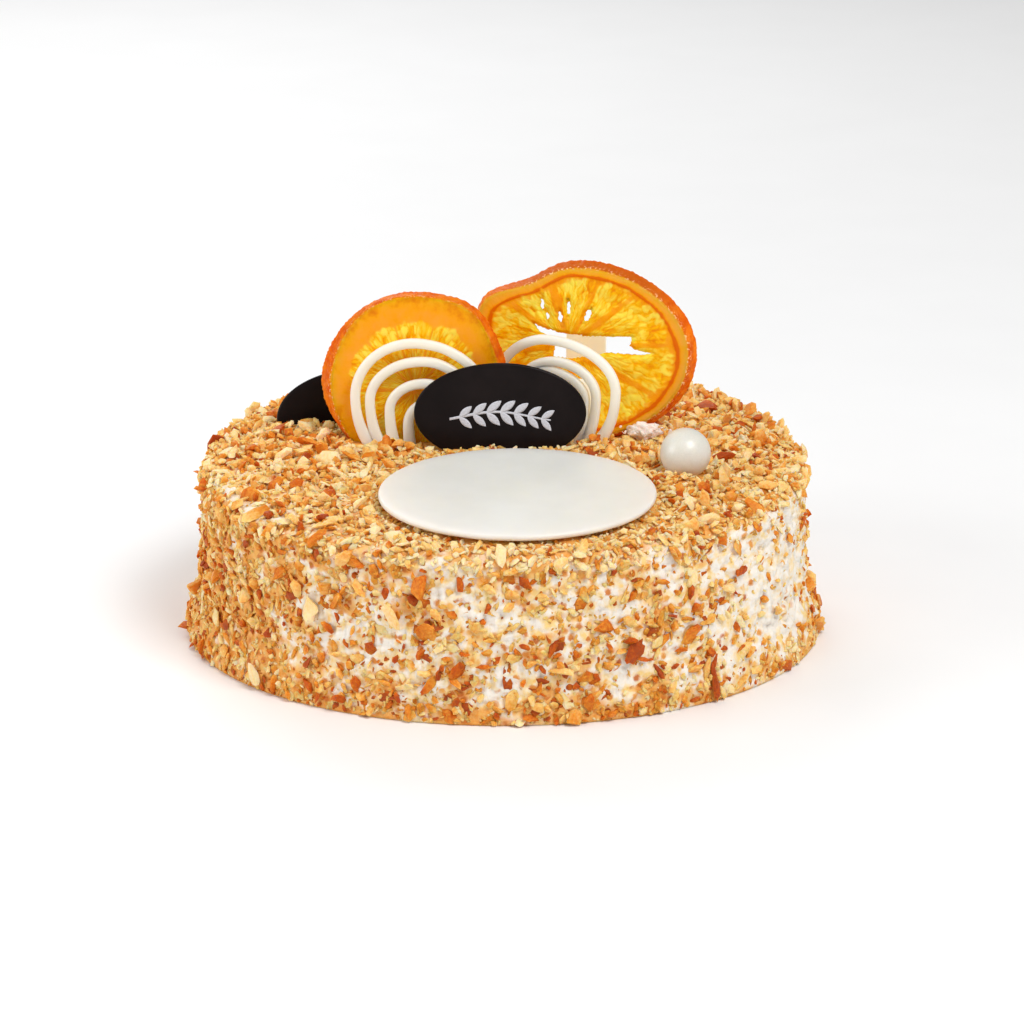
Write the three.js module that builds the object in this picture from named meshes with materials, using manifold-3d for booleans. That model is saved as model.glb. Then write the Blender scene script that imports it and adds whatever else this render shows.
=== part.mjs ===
// Orange cake: a round cream cake rolled in chopped roasted nuts, dressed with two dried
// orange slices, chocolate ornaments and plaques, and a sugar pearl.
// Millimetres, +Z up, origin at the middle of the underside, -Y is the front.
import * as THREE from 'three';
import { mergeVertices } from 'three/addons/utils/BufferGeometryUtils.js';
import Module from 'manifold-3d';

const wasm = await Module();
wasm.setup();

// ---------------------------------------------------------------- driving dimensions
const CAKE = {
  wallRadius: 104.6,      // side, a third of the way up
  shoulderRadius: 103.5,  // just under the rounded top edge
  shoulderDrop: 7,        // how far the top edge rounds down
  topRadius: 95.5,        // where the top starts to be nearly level
  height: 61.7,           // rim of the top, at the sides
  dome: 5,                // rise from the rim to the middle
  slope: 0.035,           // the top rises this much to the back, per mm
  skirt: 5,               // crumbs pressed outward at the foot, left and right
  skirtHeight: 17,
  footRound: 1,           // the lowest edge is drawn in by this much
  footHeight: 3.2,
  relief: 1,              // bumps of the chopped nuts, in or out
  segments: 100,          // with the rows below, about one bump for each nut
  wallRows: 9,
  topRows: 12,
};
const SEAT_GAP = 0.35;    // clearance round everything that is pushed into the cake
const NUT = {
  largest: 6,             // edge to edge, of the chopped nuts that are modelled one by one
  smallest: 4.2,
  wedgeFrom: 4.8,         // from this size up a nut has more faces
  onTop: 31,
  onWall: 42,
  scatter: 4,             // how far a nut strays from its even place
  sunk: 0.1,              // its middle lies this share of its size under the surface
  uneven: 0.25,           // its corners are knocked out of place by up to this share
  rimFall: 0.45,          // how steeply the nuts on the rounded top edge sink, per mm outward
  margin: 3.4,            // distance that nuts keep from the toppings
};
const COVER = {           // share of the side's nuts that stick: see wallCover
  usual: 0.72,
  bare: 0.45,             // so much less in the middle of the bare stretch
  bareTurn: -38,          // its direction, in degrees from +X
  edge: 0.6,              // so much more at the foot and at the top edge
  footBand: 16,
  rimBand: 14,
  least: 0.15,
};
const PLASTIC_NUMBER = 1.3247179572;  // its inverse powers are steps that spread nuts evenly

// Each bulge of a slice's outline is a direction and a half width, in degrees, and a height.
const LEFT_SLICE = {
  radius: 31.8,
  wide: 1,
  tall: 1,
  bulges: [[54, 20, 2.2], [180, 24, 1.3]],
  bend: 4.2,
  wave: 0.7,
  at: [-30, 1, 84.9],
  yaw: -5,
  lean: 3,
};
const RIGHT_SLICE = {
  radius: 34,
  wide: 1.14,
  tall: 0.93,
  bulges: [[157, 14, 3.3], [130, 18, -1.8]],
  bend: 3.2,
  wave: 1.3,
  at: [27.3, 13, 93],
  yaw: -14,
  lean: 4,
};
const SLICE = {
  peelHalf: 2.1,     // half thickness of the peel
  fleshHalf: 1.15,   // half thickness of the dried flesh
  peelWidth: 2.4,
  pithInner: 0.8,    // flesh ends at this share of the radius
  midFlesh: 0.46,    // share of the radius where the wedges start to show
  pithSlope: 0.04,   // the peel's face starts this share of the radius inside its width
  rimRound: [0.985, 0.72],  // share of radius and of thickness where the rim rounds off
  bendPower: 3.5,    // the edges bend back, the middle stays flat
  waves: 3,          // waves round the rim, and where they start
  waveTurn: 0.8,
  segments: 40,
  wedges: 10,
  membrane: 0.3,     // extra thickness of the walls between the wedges
};

const ARCH = {
  depth: 2.5,
  width: 3.4,
  footWidth: 4.6,    // the bands widen over the lowest stretch, which is `footHeight` tall
  footHeight: 16,
  bevel: 0.55,
  steps: [3, 4, 4, 2],  // sides of each quarter, foot to foot
};
// An ornament stands in a plane through `at`. Each of its arches is given by the [x, z], in
// that plane, of its outer foot, outer side, top, inner side and inner foot.
const LEFT_ORNAMENT = {
  at: [-28, -5, 0],
  yaw: -6,
  arches: [
    [[-9, 60], [-22.4, 81.3], [-1.7, 100.6], [23.4, 78], [19, 60]],
    [[-7.5, 60], [-17.4, 80], [1.1, 94.3], [18.2, 76.5], [16, 60]],
    [[-5, 60], [-10.7, 76.8], [1.4, 86.6], [13, 74], [12.5, 60]],
    [[-2, 60], [-4.3, 72.6], [2.5, 79.6], [8.5, 71], [9, 60]],
  ],
};
const RIGHT_ORNAMENT = {
  at: [30, -5.5, 0],
  yaw: -24,
  arches: [
    [[-4.4, 60], [8.3, 84.5], [-15.9, 100.3], [-36.1, 80], [-32.3, 60]],
    [[-6.6, 60], [1.1, 81.9], [-13.4, 92.9], [-28.5, 78], [-27.4, 60]],
    [[-9.3, 60], [-3, 80.5], [-17.5, 89.6], [-25.2, 76], [-23.5, 60]],
  ],
};

const PLATE_EDGE = 0.7;   // how far the edge of a plaque is rounded
const PLATE_SIDES = 32;
const SEAT_SIDES = 20;
const DARK_PLAQUE = { halfWidth: 29, halfHeight: 17.4, thickness: 1.7 };
const DARK_FRONT = { at: [-1.3, -11, 78.1], yaw: 0, lean: 0 };
const DARK_BACK = { at: [-49.4, 25, 66], yaw: 4, lean: 3 };

const WHITE_PLAQUE = {
  halfWidth: 45.7,
  halfHeight: 37.5,
  thickness: 1.9,
  at: [4.5, -55.4, 63.45],
  yaw: 4.4,
  lean: -5.6,  // its back edge is the higher one
};
const TILE = { width: 13.8, thickness: 2.4, bevel: 0.4 };
const TILE_BACK = { at: [28.1, 24, 81], height: 38.5, yaw: -8, lean: 2 };
const TILE_FRONT = { at: [24.2, 5.4, 73.2], height: 24.4, yaw: -14, lean: 0 };
const PEARL = { radius: 8.5, at: [60.5, -27.5, 68.9], sides: 14, rings: 8 };

const ROASTED_NUT = 0xd9a566;
const PEEL = 0xe8730f;
const FLESH = 0xf08a14;
const IVORY = 0xece7d8;
const DARK_CHOCOLATE = 0x1c1615;
const SUGAR = 0xefecdf;

// ---------------------------------------------------------------- small helpers
const rad = THREE.MathUtils.degToRad;

// The same sequence of numbers from 0 to 1 on every run: a counter with its bits mixed.
function randomFrom(seed) {
  let count = seed;
  return () => {
    count = (count + 0x6d2b79f5) | 0;
    let mixed = Math.imul(count ^ (count >>> 15), 1 | count);
    mixed = (mixed + Math.imul(mixed ^ (mixed >>> 7), 61 | mixed)) ^ mixed;
    return ((mixed ^ (mixed >>> 14)) >>> 0) / 4294967296;
  };
}

// A closed geometry with shared vertices and no collapsed triangles.
function welded(geometry) {
  const bare = geometry.clone();
  for (const name of Object.keys(bare.attributes)) {
    if (name !== 'position') {
      bare.deleteAttribute(name);
    }
  }
  const merged = mergeVertices(bare, 1e-3);
  const index = merged.index.array;
  const kept = [];
  for (let i = 0; i < index.length; i += 3) {
    const [a, b, c] = [index[i], index[i + 1], index[i + 2]];
    if (a !== b && b !== c && c !== a) {
      kept.push(a, b, c);
    }
  }
  merged.setIndex(kept);
  return merged;
}

function solid(geometry) {
  const closed = welded(geometry);
  const shape = new wasm.Manifold(new wasm.Mesh({
    numProp: 3,
    vertProperties: new Float32Array(closed.attributes.position.array),
    triVerts: new Uint32Array(closed.index.array),
  }));
  if (shape.volume() < 0) {
    throw new Error('a shape is inside out');
  }
  return shape;
}

function geometryOf(shape) {
  const mesh = shape.getMesh();
  const geometry = new THREE.BufferGeometry();
  geometry.setAttribute('position', new THREE.BufferAttribute(mesh.vertProperties, 3));
  geometry.setIndex(new THREE.BufferAttribute(mesh.triVerts, 1));
  geometry.computeVertexNormals();
  return geometry;
}

// The largest body of a shape: a loose scrap is dropped.
function largestBody(shape) {
  const bodies = shape.decompose();
  return bodies.reduce((best, body) => (body.volume() > best.volume() ? body : best));
}

function editPoints(geometry, edit) {
  const position = geometry.attributes.position;
  const point = new THREE.Vector3();
  for (let i = 0; i < position.count; i += 1) {
    point.fromBufferAttribute(position, i);
    edit(point);
    position.setXYZ(i, point.x, point.y, point.z);
  }
  return geometry;
}

function finish(colour, roughness) {
  return new THREE.MeshStandardMaterial({ color: colour, roughness, metalness: 0 });
}

// ---------------------------------------------------------------- the cake's own surface
// The top rises a little to the back, and the side with it.
function sloped(z, y) {
  return z + CAKE.slope * y * Math.min(z / CAKE.height, 1);
}

function domeHeight(r) {
  const share = Math.min(r / CAKE.topRadius, 1);
  return CAKE.height + CAKE.dome * (1 - share * share);
}

function topHeight(x, y) {
  return sloped(domeHeight(Math.hypot(x, y)), y);
}

// How far the pressed crumbs reach out beyond the wall, most at the left and right.
function skirt(angle, z) {
  const fall = THREE.MathUtils.clamp(z / CAKE.skirtHeight, 0, 1);
  return CAKE.skirt * Math.cos(angle) ** 2 * (1 - fall * fall);
}

// Radius of the side at height z, in the direction `angle`.
function wallRadius(angle, z) {
  const shoulder = CAKE.height - CAKE.shoulderDrop;
  const up = THREE.MathUtils.smoothstep(z, CAKE.skirtHeight, shoulder);
  return THREE.MathUtils.lerp(CAKE.wallRadius, CAKE.shoulderRadius, up) + skirt(angle, z);
}

// A turned profile with an uneven coat: every point of it moves in or out a little.
function cakeCore() {
  const shoulder = CAKE.height - CAKE.shoulderDrop;
  const edgeDepth = CAKE.shoulderRadius - CAKE.topRadius;
  const profile = [new THREE.Vector2(0, 0), new THREE.Vector2(CAKE.wallRadius - CAKE.footRound, 0)];
  for (let row = 0; row <= CAKE.wallRows; row += 1) {
    const z = THREE.MathUtils.lerp(CAKE.footHeight, shoulder, row / CAKE.wallRows);
    profile.push(new THREE.Vector2(CAKE.wallRadius, z));
  }
  for (const turn of [30, 60, 90]) {
    const r = CAKE.topRadius + edgeDepth * Math.cos(rad(turn));
    profile.push(new THREE.Vector2(r, shoulder + CAKE.shoulderDrop * Math.sin(rad(turn))));
  }
  for (let row = CAKE.topRows - 1; row >= 0; row -= 1) {
    profile.push(new THREE.Vector2(CAKE.topRadius * row / CAKE.topRows, CAKE.height));
  }
  const turned = welded(new THREE.LatheGeometry(profile, CAKE.segments).rotateX(Math.PI / 2));
  const random = randomFrom(11);
  return editPoints(turned, (p) => {
    const angle = Math.atan2(p.y, p.x);
    let r = Math.hypot(p.x, p.y);
    let z = p.z;
    const bump = CAKE.relief * (2 * random() - 1);
    if (z < 0.01) {
      r += r > 1 ? skirt(angle, 0) : 0;
    } else if (z < shoulder + 0.01) {
      r = wallRadius(angle, z) + bump;
    } else if (r > CAKE.topRadius + 0.01) {
      r += bump;
      z += bump;
    } else {
      z = domeHeight(r) + bump;
    }
    p.set(r * Math.cos(angle), r * Math.sin(angle), 0);
    p.z = sloped(z, p.y);
  });
}

// One chopped nut with every corner knocked out of place: the large ones are three-sided
// wedges, the small ones shards.
function nut(size, centre, random) {
  const whole = size > NUT.wedgeFrom
    ? new THREE.CylinderGeometry(size * 0.56, size * 0.5, size * 0.7, 3)
    : new THREE.TetrahedronGeometry(size * 0.8);
  const knock = () => 1 + NUT.uneven * (2 * random() - 1);
  const chopped = editPoints(welded(whole), (p) => {
    p.set(p.x * knock(), p.y * knock(), p.z * knock());
  });
  const turn = () => random() * 2 * Math.PI;
  const spin = new THREE.Euler(turn(), turn(), turn());
  chopped.applyMatrix4(new THREE.Matrix4().makeRotationFromEuler(spin));
  chopped.translate(centre.x, centre.y, centre.z);
  return solid(chopped);
}

// Nuts on the top: a sunflower spiral spreads them evenly, large and small in turn.
function topNuts(isClear) {
  const random = randomFrom(23);
  const turn = Math.PI * (3 - Math.sqrt(5));
  const nuts = [];
  for (let i = 0; i < NUT.onTop; i += 1) {
    const rank = ((i * 7) % NUT.onTop) / NUT.onTop;
    const size = THREE.MathUtils.lerp(NUT.largest, NUT.smallest, rank);
    const out = (CAKE.shoulderRadius - NUT.scatter / 2) * Math.sqrt((i + 0.5) / NUT.onTop);
    const x = out * Math.cos(i * turn) + NUT.scatter * (random() - 0.5);
    const y = out * Math.sin(i * turn) + NUT.scatter * (random() - 0.5);
    const drop = Math.max(0, Math.hypot(x, y) - CAKE.topRadius) * NUT.rimFall;
    const centre = new THREE.Vector3(x, y, topHeight(x, y) - drop - NUT.sunk * size);
    if (isClear(centre)) {
      nuts.push(nut(size, centre, random));
    }
  }
  return nuts;
}

// Share of nuts that stick to the side: thick at the left, the foot and the top edge,
// thin at the front and the right, where the cream shows.
function wallCover(angle, z) {
  const foot = Math.max(0, 1 - z / COVER.footBand);
  const rim = Math.max(0, 1 - (CAKE.height - z) / COVER.rimBand);
  const bare = Math.max(0, Math.cos(angle - rad(COVER.bareTurn))) ** 4;
  const share = COVER.usual - COVER.bare * bare + COVER.edge * (foot + rim);
  return THREE.MathUtils.clamp(share, COVER.least, 1);
}

// Nuts on the side, the largest first, at evenly spread angles and heights.
function wallNuts() {
  const random = randomFrom(37);
  const nuts = [];
  const lowest = NUT.largest * 0.62;
  const highest = CAKE.height - CAKE.shoulderDrop / 2;
  for (let i = 0; nuts.length < NUT.onWall; i += 1) {
    const angle = ((i / PLASTIC_NUMBER) % 1) * Math.PI * 2;
    const z = THREE.MathUtils.lerp(lowest, highest, (i / PLASTIC_NUMBER ** 2) % 1);
    const size = THREE.MathUtils.lerp(NUT.largest, NUT.smallest, nuts.length / NUT.onWall);
    if (random() < wallCover(angle, z)) {
      const r = wallRadius(angle, z) - NUT.sunk * size;
      const y = r * Math.sin(angle);
      const centre = new THREE.Vector3(r * Math.cos(angle), y, sloped(z, y));
      nuts.push(nut(size, centre, random));
    }
  }
  return nuts;
}

// ---------------------------------------------------------------- dried orange slices
// How far the outline reaches in the direction `turn`, as a share of the radius.
function sliceReach(spec, turn) {
  let reach = 1 / Math.hypot(Math.cos(turn) / spec.wide, Math.sin(turn) / spec.tall);
  for (const [middle, width, height] of spec.bulges) {
    const off = Math.atan2(Math.sin(turn - rad(middle)), Math.cos(turn - rad(middle)));
    reach += height / spec.radius * Math.exp(-((off / rad(width)) ** 2));
  }
  return reach;
}

// A turned disc in the XZ plane, given its outline, its bent edges and its wavy rim: left
// and right edges are bent back. The front is -Y. `face` lists [share of radius, half
// thickness] from the middle out, and `ridge` is the relief between the wedges.
function sliceDisc(spec, face, ridge, segments) {
  const points = face.map(([share, half]) => new THREE.Vector2(share * spec.radius, half));
  const mirrored = points.map((point) => new THREE.Vector2(point.x, -point.y));
  const disc = welded(new THREE.LatheGeometry([...mirrored, ...points.reverse()], segments));
  return editPoints(disc, (p) => {
    const r = Math.hypot(p.x, p.z);
    const turn = Math.atan2(p.z, p.x);
    const share = r / spec.radius;
    const inFlesh = share > SLICE.midFlesh / 2 && share < SLICE.pithInner + 0.01;
    const relief = inFlesh ? ridge * Math.sign(p.y) * Math.cos(SLICE.wedges * turn) : 0;
    const back = spec.bend * Math.abs(Math.cos(turn) * share) ** SLICE.bendPower;
    const wavy = spec.wave * share ** 2 * Math.cos(SLICE.waves * turn + SLICE.waveTurn);
    const reach = r * sliceReach(spec, turn);
    p.set(reach * Math.cos(turn), p.y + relief + back + wavy, reach * Math.sin(turn));
  });
}

// Thick rounded peel round thinner flesh, with raised walls between its wedges.
function sliceGeometry(spec) {
  const peel = 1 - SLICE.peelWidth / spec.radius - SLICE.pithSlope;
  const [rimShare, rimThin] = SLICE.rimRound;
  const face = [
    [0, SLICE.fleshHalf],
    [SLICE.midFlesh, SLICE.fleshHalf],
    [SLICE.pithInner, SLICE.fleshHalf],
    [peel, SLICE.peelHalf],
    [rimShare, SLICE.peelHalf * rimThin],
    [1, 0],
  ];
  return sliceDisc(spec, face, SLICE.membrane, SLICE.segments);
}

// The slit that a slice is pushed into: the same bent disc, plainer and a little larger.
function sliceSeat(spec) {
  const half = SLICE.peelHalf + SEAT_GAP;
  const reach = 1 + 2 * SEAT_GAP / spec.radius;
  const face = [[0, half], [SLICE.midFlesh, half], [SLICE.pithInner, half], [reach, half]];
  return sliceDisc(spec, face, 0, SLICE.segments / 2);
}

// Openings in the right slice, in its own plane, from its middle.
const TORN_HOLE = [
  [-18, 8.9], [-14.5, 7.4], [-8, 5.9], [0.7, 4.8], [16.6, 5], [15.8, 2.9], [17.6, 1.7],
  [23.6, 0.7], [19.6, -0.2], [8, 0.1], [2.4, -1.6], [-6, -2.9], [-10.8, -2.5], [-9.8, 4],
  [-15.2, 5.4],
];
const SLITS = [  // x, z, width, length and tilt of each
  [-15, 15.4, 1.5, 3.6, 0],
  [-13, 11.4, 1.2, 2.9, 4],
  [-8.6, 11.2, 1.6, 3.6, 8],
  [-5.8, 14.5, 1.5, 4.6, 0],
  [1, 12.5, 1.9, 4.8, -28],
];

function throughSlice(shape) {
  const depth = 30;
  const cutter = new THREE.ExtrudeGeometry(shape, { depth, bevelEnabled: false });
  cutter.translate(0, 0, -depth / 2);
  cutter.rotateX(Math.PI / 2);
  return solid(cutter);
}

function sliceHoles() {
  const torn = new THREE.Shape(TORN_HOLE.map(([x, z]) => new THREE.Vector2(x, z)));
  const slits = SLITS.map(([x, z, width, length, tilt]) => {
    const slit = new THREE.Shape();
    slit.absellipse(x, z, width / 2, length / 2, 0, Math.PI * 2, false, rad(tilt));
    return new THREE.Shape(slit.getPoints(6).slice(0, -1));
  });
  return wasm.Manifold.union([torn, ...slits].map(throughSlice));
}

// ---------------------------------------------------------------- chocolate ornaments
// Quarter of an ellipse from `start` to `end`; it leaves `start` upright if `rising`.
function quarter(start, end, rising, steps) {
  const centre = rising ? [end[0], start[1]] : [start[0], end[1]];
  const points = [];
  for (let i = 0; i < steps; i += 1) {
    const turn = Math.PI / 2 * i / steps;
    const away = rising ? Math.cos(turn) : Math.sin(turn);
    const up = rising ? Math.sin(turn) : Math.cos(turn);
    const side = rising ? start[0] - centre[0] : end[0] - centre[0];
    const height = rising ? end[1] - centre[1] : start[1] - centre[1];
    points.push(new THREE.Vector2(centre[0] + side * away, centre[1] + height * up));
  }
  return points;
}

// Flat outline of one arch: its centre line with half the band's width on either side.
function archShape([foot, side, top, farSide, farFoot]) {
  const line = [
    ...quarter(foot, side, false, ARCH.steps[0]),
    ...quarter(side, top, true, ARCH.steps[1]),
    ...quarter(top, farSide, false, ARCH.steps[2]),
    ...quarter(farSide, farFoot, true, ARCH.steps[3]),
    new THREE.Vector2(...farFoot),
  ];
  const left = [];
  const right = [];
  line.forEach((point, i) => {
    const next = line[Math.min(i + 1, line.length - 1)];
    const last = line[Math.max(i - 1, 0)];
    const along = next.clone().sub(last).normalize();
    const low = THREE.MathUtils.clamp(1 - (point.y - foot[1]) / ARCH.footHeight, 0, 1);
    const half = THREE.MathUtils.lerp(ARCH.width, ARCH.footWidth, low) / 2 - ARCH.bevel;
    left.push(new THREE.Vector2(point.x - along.y * half, point.y + along.x * half));
    right.push(new THREE.Vector2(point.x + along.y * half, point.y - along.x * half));
  });
  return new THREE.Shape([...left, ...right.reverse()]);
}

// A flat shape in the XZ plane with bevelled edges, `thickness` from front to back.
function slab(shape, thickness, bevel) {
  const depth = thickness - 2 * bevel;
  const geometry = new THREE.ExtrudeGeometry(shape, {
    depth,
    bevelEnabled: bevel > 0,
    bevelThickness: bevel,
    bevelSize: bevel,
    bevelSegments: 1,
  });
  return geometry.translate(0, 0, -depth / 2).rotateX(Math.PI / 2);
}

function rectangle(left, bottom, right, top) {
  return new THREE.Shape([
    new THREE.Vector2(left, bottom),
    new THREE.Vector2(right, bottom),
    new THREE.Vector2(right, top),
    new THREE.Vector2(left, top),
  ]);
}

// Nested arches that run together at their feet, in the XZ plane.
function ornamentGeometry({ arches }) {
  const bands = arches.map((arch) => solid(slab(archShape(arch), ARCH.depth, ARCH.bevel)));
  return geometryOf(wasm.Manifold.union(bands));
}

// The slit that the feet of an ornament are pushed into.
function ornamentSeat({ arches }) {
  const across = arches.flat().map(([x]) => x);
  const margin = ARCH.footWidth / 2 + SEAT_GAP;
  const bottom = arches[0][0][1] - margin;
  const outline = rectangle(
    Math.min(...across) - margin,
    bottom,
    Math.max(...across) + margin,
    arches[0][2][1],
  );
  return slab(outline, ARCH.depth + 2 * SEAT_GAP, 0);
}

// ---------------------------------------------------------------- plaques, tiles, pearl
// An oval plate with a sharp-backed round edge, its faces along +Y and -Y.
function ovalPlate({ halfWidth, halfHeight, thickness }, sides) {
  const half = thickness / 2;
  const profile = [
    new THREE.Vector2(0, -half),
    new THREE.Vector2(halfWidth - PLATE_EDGE, -half),
    new THREE.Vector2(halfWidth, 0),
    new THREE.Vector2(halfWidth - PLATE_EDGE, half),
    new THREE.Vector2(0, half),
  ];
  return new THREE.LatheGeometry(profile, sides).scale(1, 1, halfHeight / halfWidth);
}

// The slit or bed that a plate is pushed into, with fewer sides and so a little larger.
function ovalSeat(plate) {
  const corner = plate.halfWidth * (1 / Math.cos(Math.PI / SEAT_SIDES) - 1);
  const grow = PLATE_EDGE + SEAT_GAP + corner;
  return ovalPlate({
    halfWidth: plate.halfWidth + grow,
    halfHeight: plate.halfHeight + grow,
    thickness: plate.thickness + 2 * SEAT_GAP,
  }, SEAT_SIDES);
}

function tileGeometry(tile) {
  const half = TILE.width / 2 - TILE.bevel;
  const tall = tile.height / 2 - TILE.bevel;
  return slab(rectangle(-half, -tall, half, tall), TILE.thickness, TILE.bevel);
}

function tileSeat(tile) {
  const half = TILE.width / 2 + SEAT_GAP;
  const tall = tile.height / 2 + SEAT_GAP;
  return slab(rectangle(-half, -tall, half, tall), TILE.thickness + 2 * SEAT_GAP, 0);
}

// ---------------------------------------------------------------- assembly
const cake = new THREE.Group();
const seats = [];     // what is cut out of the cake, each a little larger than its piece
const toppings = [];

// Adds one topping and cuts its seat.
function addTopping(name, geometry, seat, place, colour, roughness) {
  const mesh = new THREE.Mesh(geometryOf(solid(geometry)), finish(colour, roughness));
  mesh.name = name;
  mesh.position.set(...place.at);
  mesh.rotation.set(-rad(place.lean ?? 0), 0, rad(place.yaw ?? 0), 'ZXY');
  mesh.updateMatrixWorld();
  mesh.geometry.computeBoundingBox();
  cake.add(mesh);
  toppings.push(mesh);
  seats.push(solid(seat.applyMatrix4(mesh.matrixWorld)));
  return mesh;
}

const holed = geometryOf(solid(sliceGeometry(RIGHT_SLICE)).subtract(sliceHoles()));
addTopping(
  'orange_slice_left', sliceGeometry(LEFT_SLICE), sliceSeat(LEFT_SLICE), LEFT_SLICE, PEEL, 0.35,
);
addTopping('orange_slice_right', holed, sliceSeat(RIGHT_SLICE), RIGHT_SLICE, FLESH, 0.35);
for (const [name, ornament] of [['rings_left', LEFT_ORNAMENT], ['rings_right', RIGHT_ORNAMENT]]) {
  addTopping(name, ornamentGeometry(ornament), ornamentSeat(ornament), ornament, IVORY, 0.45);
}
for (const [name, place] of [['dark_plaque_front', DARK_FRONT], ['dark_plaque_back', DARK_BACK]]) {
  const plate = ovalPlate(DARK_PLAQUE, PLATE_SIDES);
  addTopping(name, plate, ovalSeat(DARK_PLAQUE), place, DARK_CHOCOLATE, 0.3);
}
for (const [name, tile] of [['white_tile_front', TILE_FRONT], ['white_tile_back', TILE_BACK]]) {
  addTopping(name, tileGeometry(tile), tileSeat(tile), tile, IVORY, 0.45);
}
addTopping(
  'pearl',
  new THREE.SphereGeometry(PEARL.radius, PEARL.sides, PEARL.rings),
  new THREE.SphereGeometry(PEARL.radius + 2 * SEAT_GAP, PEARL.sides, PEARL.rings),
  PEARL,
  SUGAR,
  0.25,
);
// The bed of the white plaque is open above, so that no bump stands over it.
const bedHeight = 2 * WHITE_PLAQUE.thickness;
const bed = ovalSeat({ ...WHITE_PLAQUE, thickness: WHITE_PLAQUE.thickness + 2 * bedHeight });
const plaque = addTopping(
  'white_plaque',
  ovalPlate(WHITE_PLAQUE, PLATE_SIDES).rotateX(-Math.PI / 2),
  bed.rotateX(-Math.PI / 2).translate(0, 0, bedHeight),
  WHITE_PLAQUE,
  IVORY,
  0.45,
);

// True where a nut touches no topping. Under the plaque it is the oval that counts.
function isClear(point) {
  return toppings.every((mesh) => {
    const local = mesh.worldToLocal(point.clone());
    if (mesh === plaque) {
      const across = local.x / (WHITE_PLAQUE.halfWidth + NUT.margin);
      return Math.hypot(across, local.y / (WHITE_PLAQUE.halfHeight + NUT.margin)) > 1;
    }
    return mesh.geometry.boundingBox.distanceToPoint(local) > NUT.margin;
  });
}

const crusted = wasm.Manifold.union([solid(cakeCore()), ...topNuts(isClear), ...wallNuts()]);
const seated = largestBody(crusted.subtract(wasm.Manifold.union(seats)));
const body = new THREE.Mesh(geometryOf(seated), finish(ROASTED_NUT, 0.8));
body.name = 'cake';
cake.add(body);

export default cake;
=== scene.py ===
"""Orange cake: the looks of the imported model, laid out as a Blender 4.5 add-on.

Each operator makes one piece or one group of like pieces round the fixed frame. Everything is
in metres, +Z up, with -Y as the front. MM turns real sizes in millimetres into metres.
"""
import math

import bpy
import numpy as np
from bpy.props import FloatProperty, FloatVectorProperty, IntProperty, PointerProperty
from bpy.types import Operator, Panel, PropertyGroup
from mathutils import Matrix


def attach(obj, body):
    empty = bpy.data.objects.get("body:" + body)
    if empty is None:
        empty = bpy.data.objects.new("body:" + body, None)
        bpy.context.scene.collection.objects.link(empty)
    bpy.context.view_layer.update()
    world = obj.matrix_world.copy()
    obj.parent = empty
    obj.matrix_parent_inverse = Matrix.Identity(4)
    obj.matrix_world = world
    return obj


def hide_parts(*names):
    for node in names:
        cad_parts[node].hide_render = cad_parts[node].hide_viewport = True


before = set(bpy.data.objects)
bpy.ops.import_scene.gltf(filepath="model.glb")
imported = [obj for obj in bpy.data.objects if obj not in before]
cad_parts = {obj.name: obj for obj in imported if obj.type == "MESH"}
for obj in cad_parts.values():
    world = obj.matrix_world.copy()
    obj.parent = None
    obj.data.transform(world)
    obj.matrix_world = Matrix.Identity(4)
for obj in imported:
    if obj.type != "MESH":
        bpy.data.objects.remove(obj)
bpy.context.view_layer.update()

bl_info = {
    "name": "Orange Cake",
    "version": (1, 0, 0),
    "blender": (4, 5, 0),
    "location": "View3D > Sidebar > Cake",
    "description": "Makes a cream cake with chopped nuts, orange slices and chocolate",
    "category": "Add Mesh",
}

MM = 0.001
TAU = 2 * math.pi


# ---------------------------------------------------------------- settings
def srgb(red, green, blue):
    """A colour of 0 to 255 as the linear values that shaders use."""
    part = np.array([red, green, blue]) / 255
    linear = np.where(part <= 0.04045, part / 12.92, ((part + 0.055) / 1.055) ** 2.4)
    return tuple(float(value) for value in linear)


def length(label, description, millimetres):
    """A length property, given in millimetres and kept in metres."""
    return FloatProperty(
        name=label, description=description, default=millimetres * MM, unit="LENGTH", precision=5
    )


def share(label, description, value):
    """A plain number property, such as a share or a strength."""
    return FloatProperty(name=label, description=description, default=value, precision=3)


def count(label, description, value):
    """A whole number property."""
    return IntProperty(name=label, description=description, default=value, min=1)


def colour(label, description, red, green, blue):
    """A colour property, given as 0 to 255."""
    return FloatVectorProperty(
        name=label, description=description, default=srgb(red, green, blue),
        subtype="COLOR", size=3, min=0, max=1,
    )


class CreamSettings(PropertyGroup):
    """Sizes and colours of the cream cake under its nuts."""

    wall_radius: length("Side radius", "Radius of the side, a third of the way up", 104.6)
    edge_radius: length("Edge radius", "Radius just under the rounded top edge", 103.5)
    top_radius: length("Top radius", "Where the top starts to be nearly level", 95.5)
    edge_drop: length("Edge drop", "How far the top edge rounds down", 7)
    height: length("Height", "Height of the top's rim, at the sides", 61.7)
    dome: length("Dome", "Rise of the top from its rim to its middle", 5)
    slope: share("Slope", "Rise of the top towards the back, for each unit of length", 0.035)
    skirt: length("Skirt", "How far the foot spreads, at the left and right", 5)
    skirt_height: length("Skirt height", "Height up to which the foot spreads", 17)
    coat: length("Coat", "Thickness of the coat of nuts over the cream", 1.7)
    relief: length("Relief", "Height of the cream's lumps and drags", 0.8)
    cream: colour("Cream", "Colour of the whipped cream", 242, 234, 222)
    stain: colour("Stained cream", "Colour of the cream near sunken nuts", 243, 208, 134)
    # The bed colour is partly the nuts beneath and partly painted warm shade in the gaps between
    # the nuts.
    bed_and_gap_shade: colour("Bed", "Colour between the nuts on the top", 228, 146, 48)
    sunken: length("Sunken nuts", "Spacing of the nuts that show through the cream", 3.0)
    dab: colour("Dab", "Colour of the dab of cream at the orange slice", 251, 240, 232)


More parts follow.
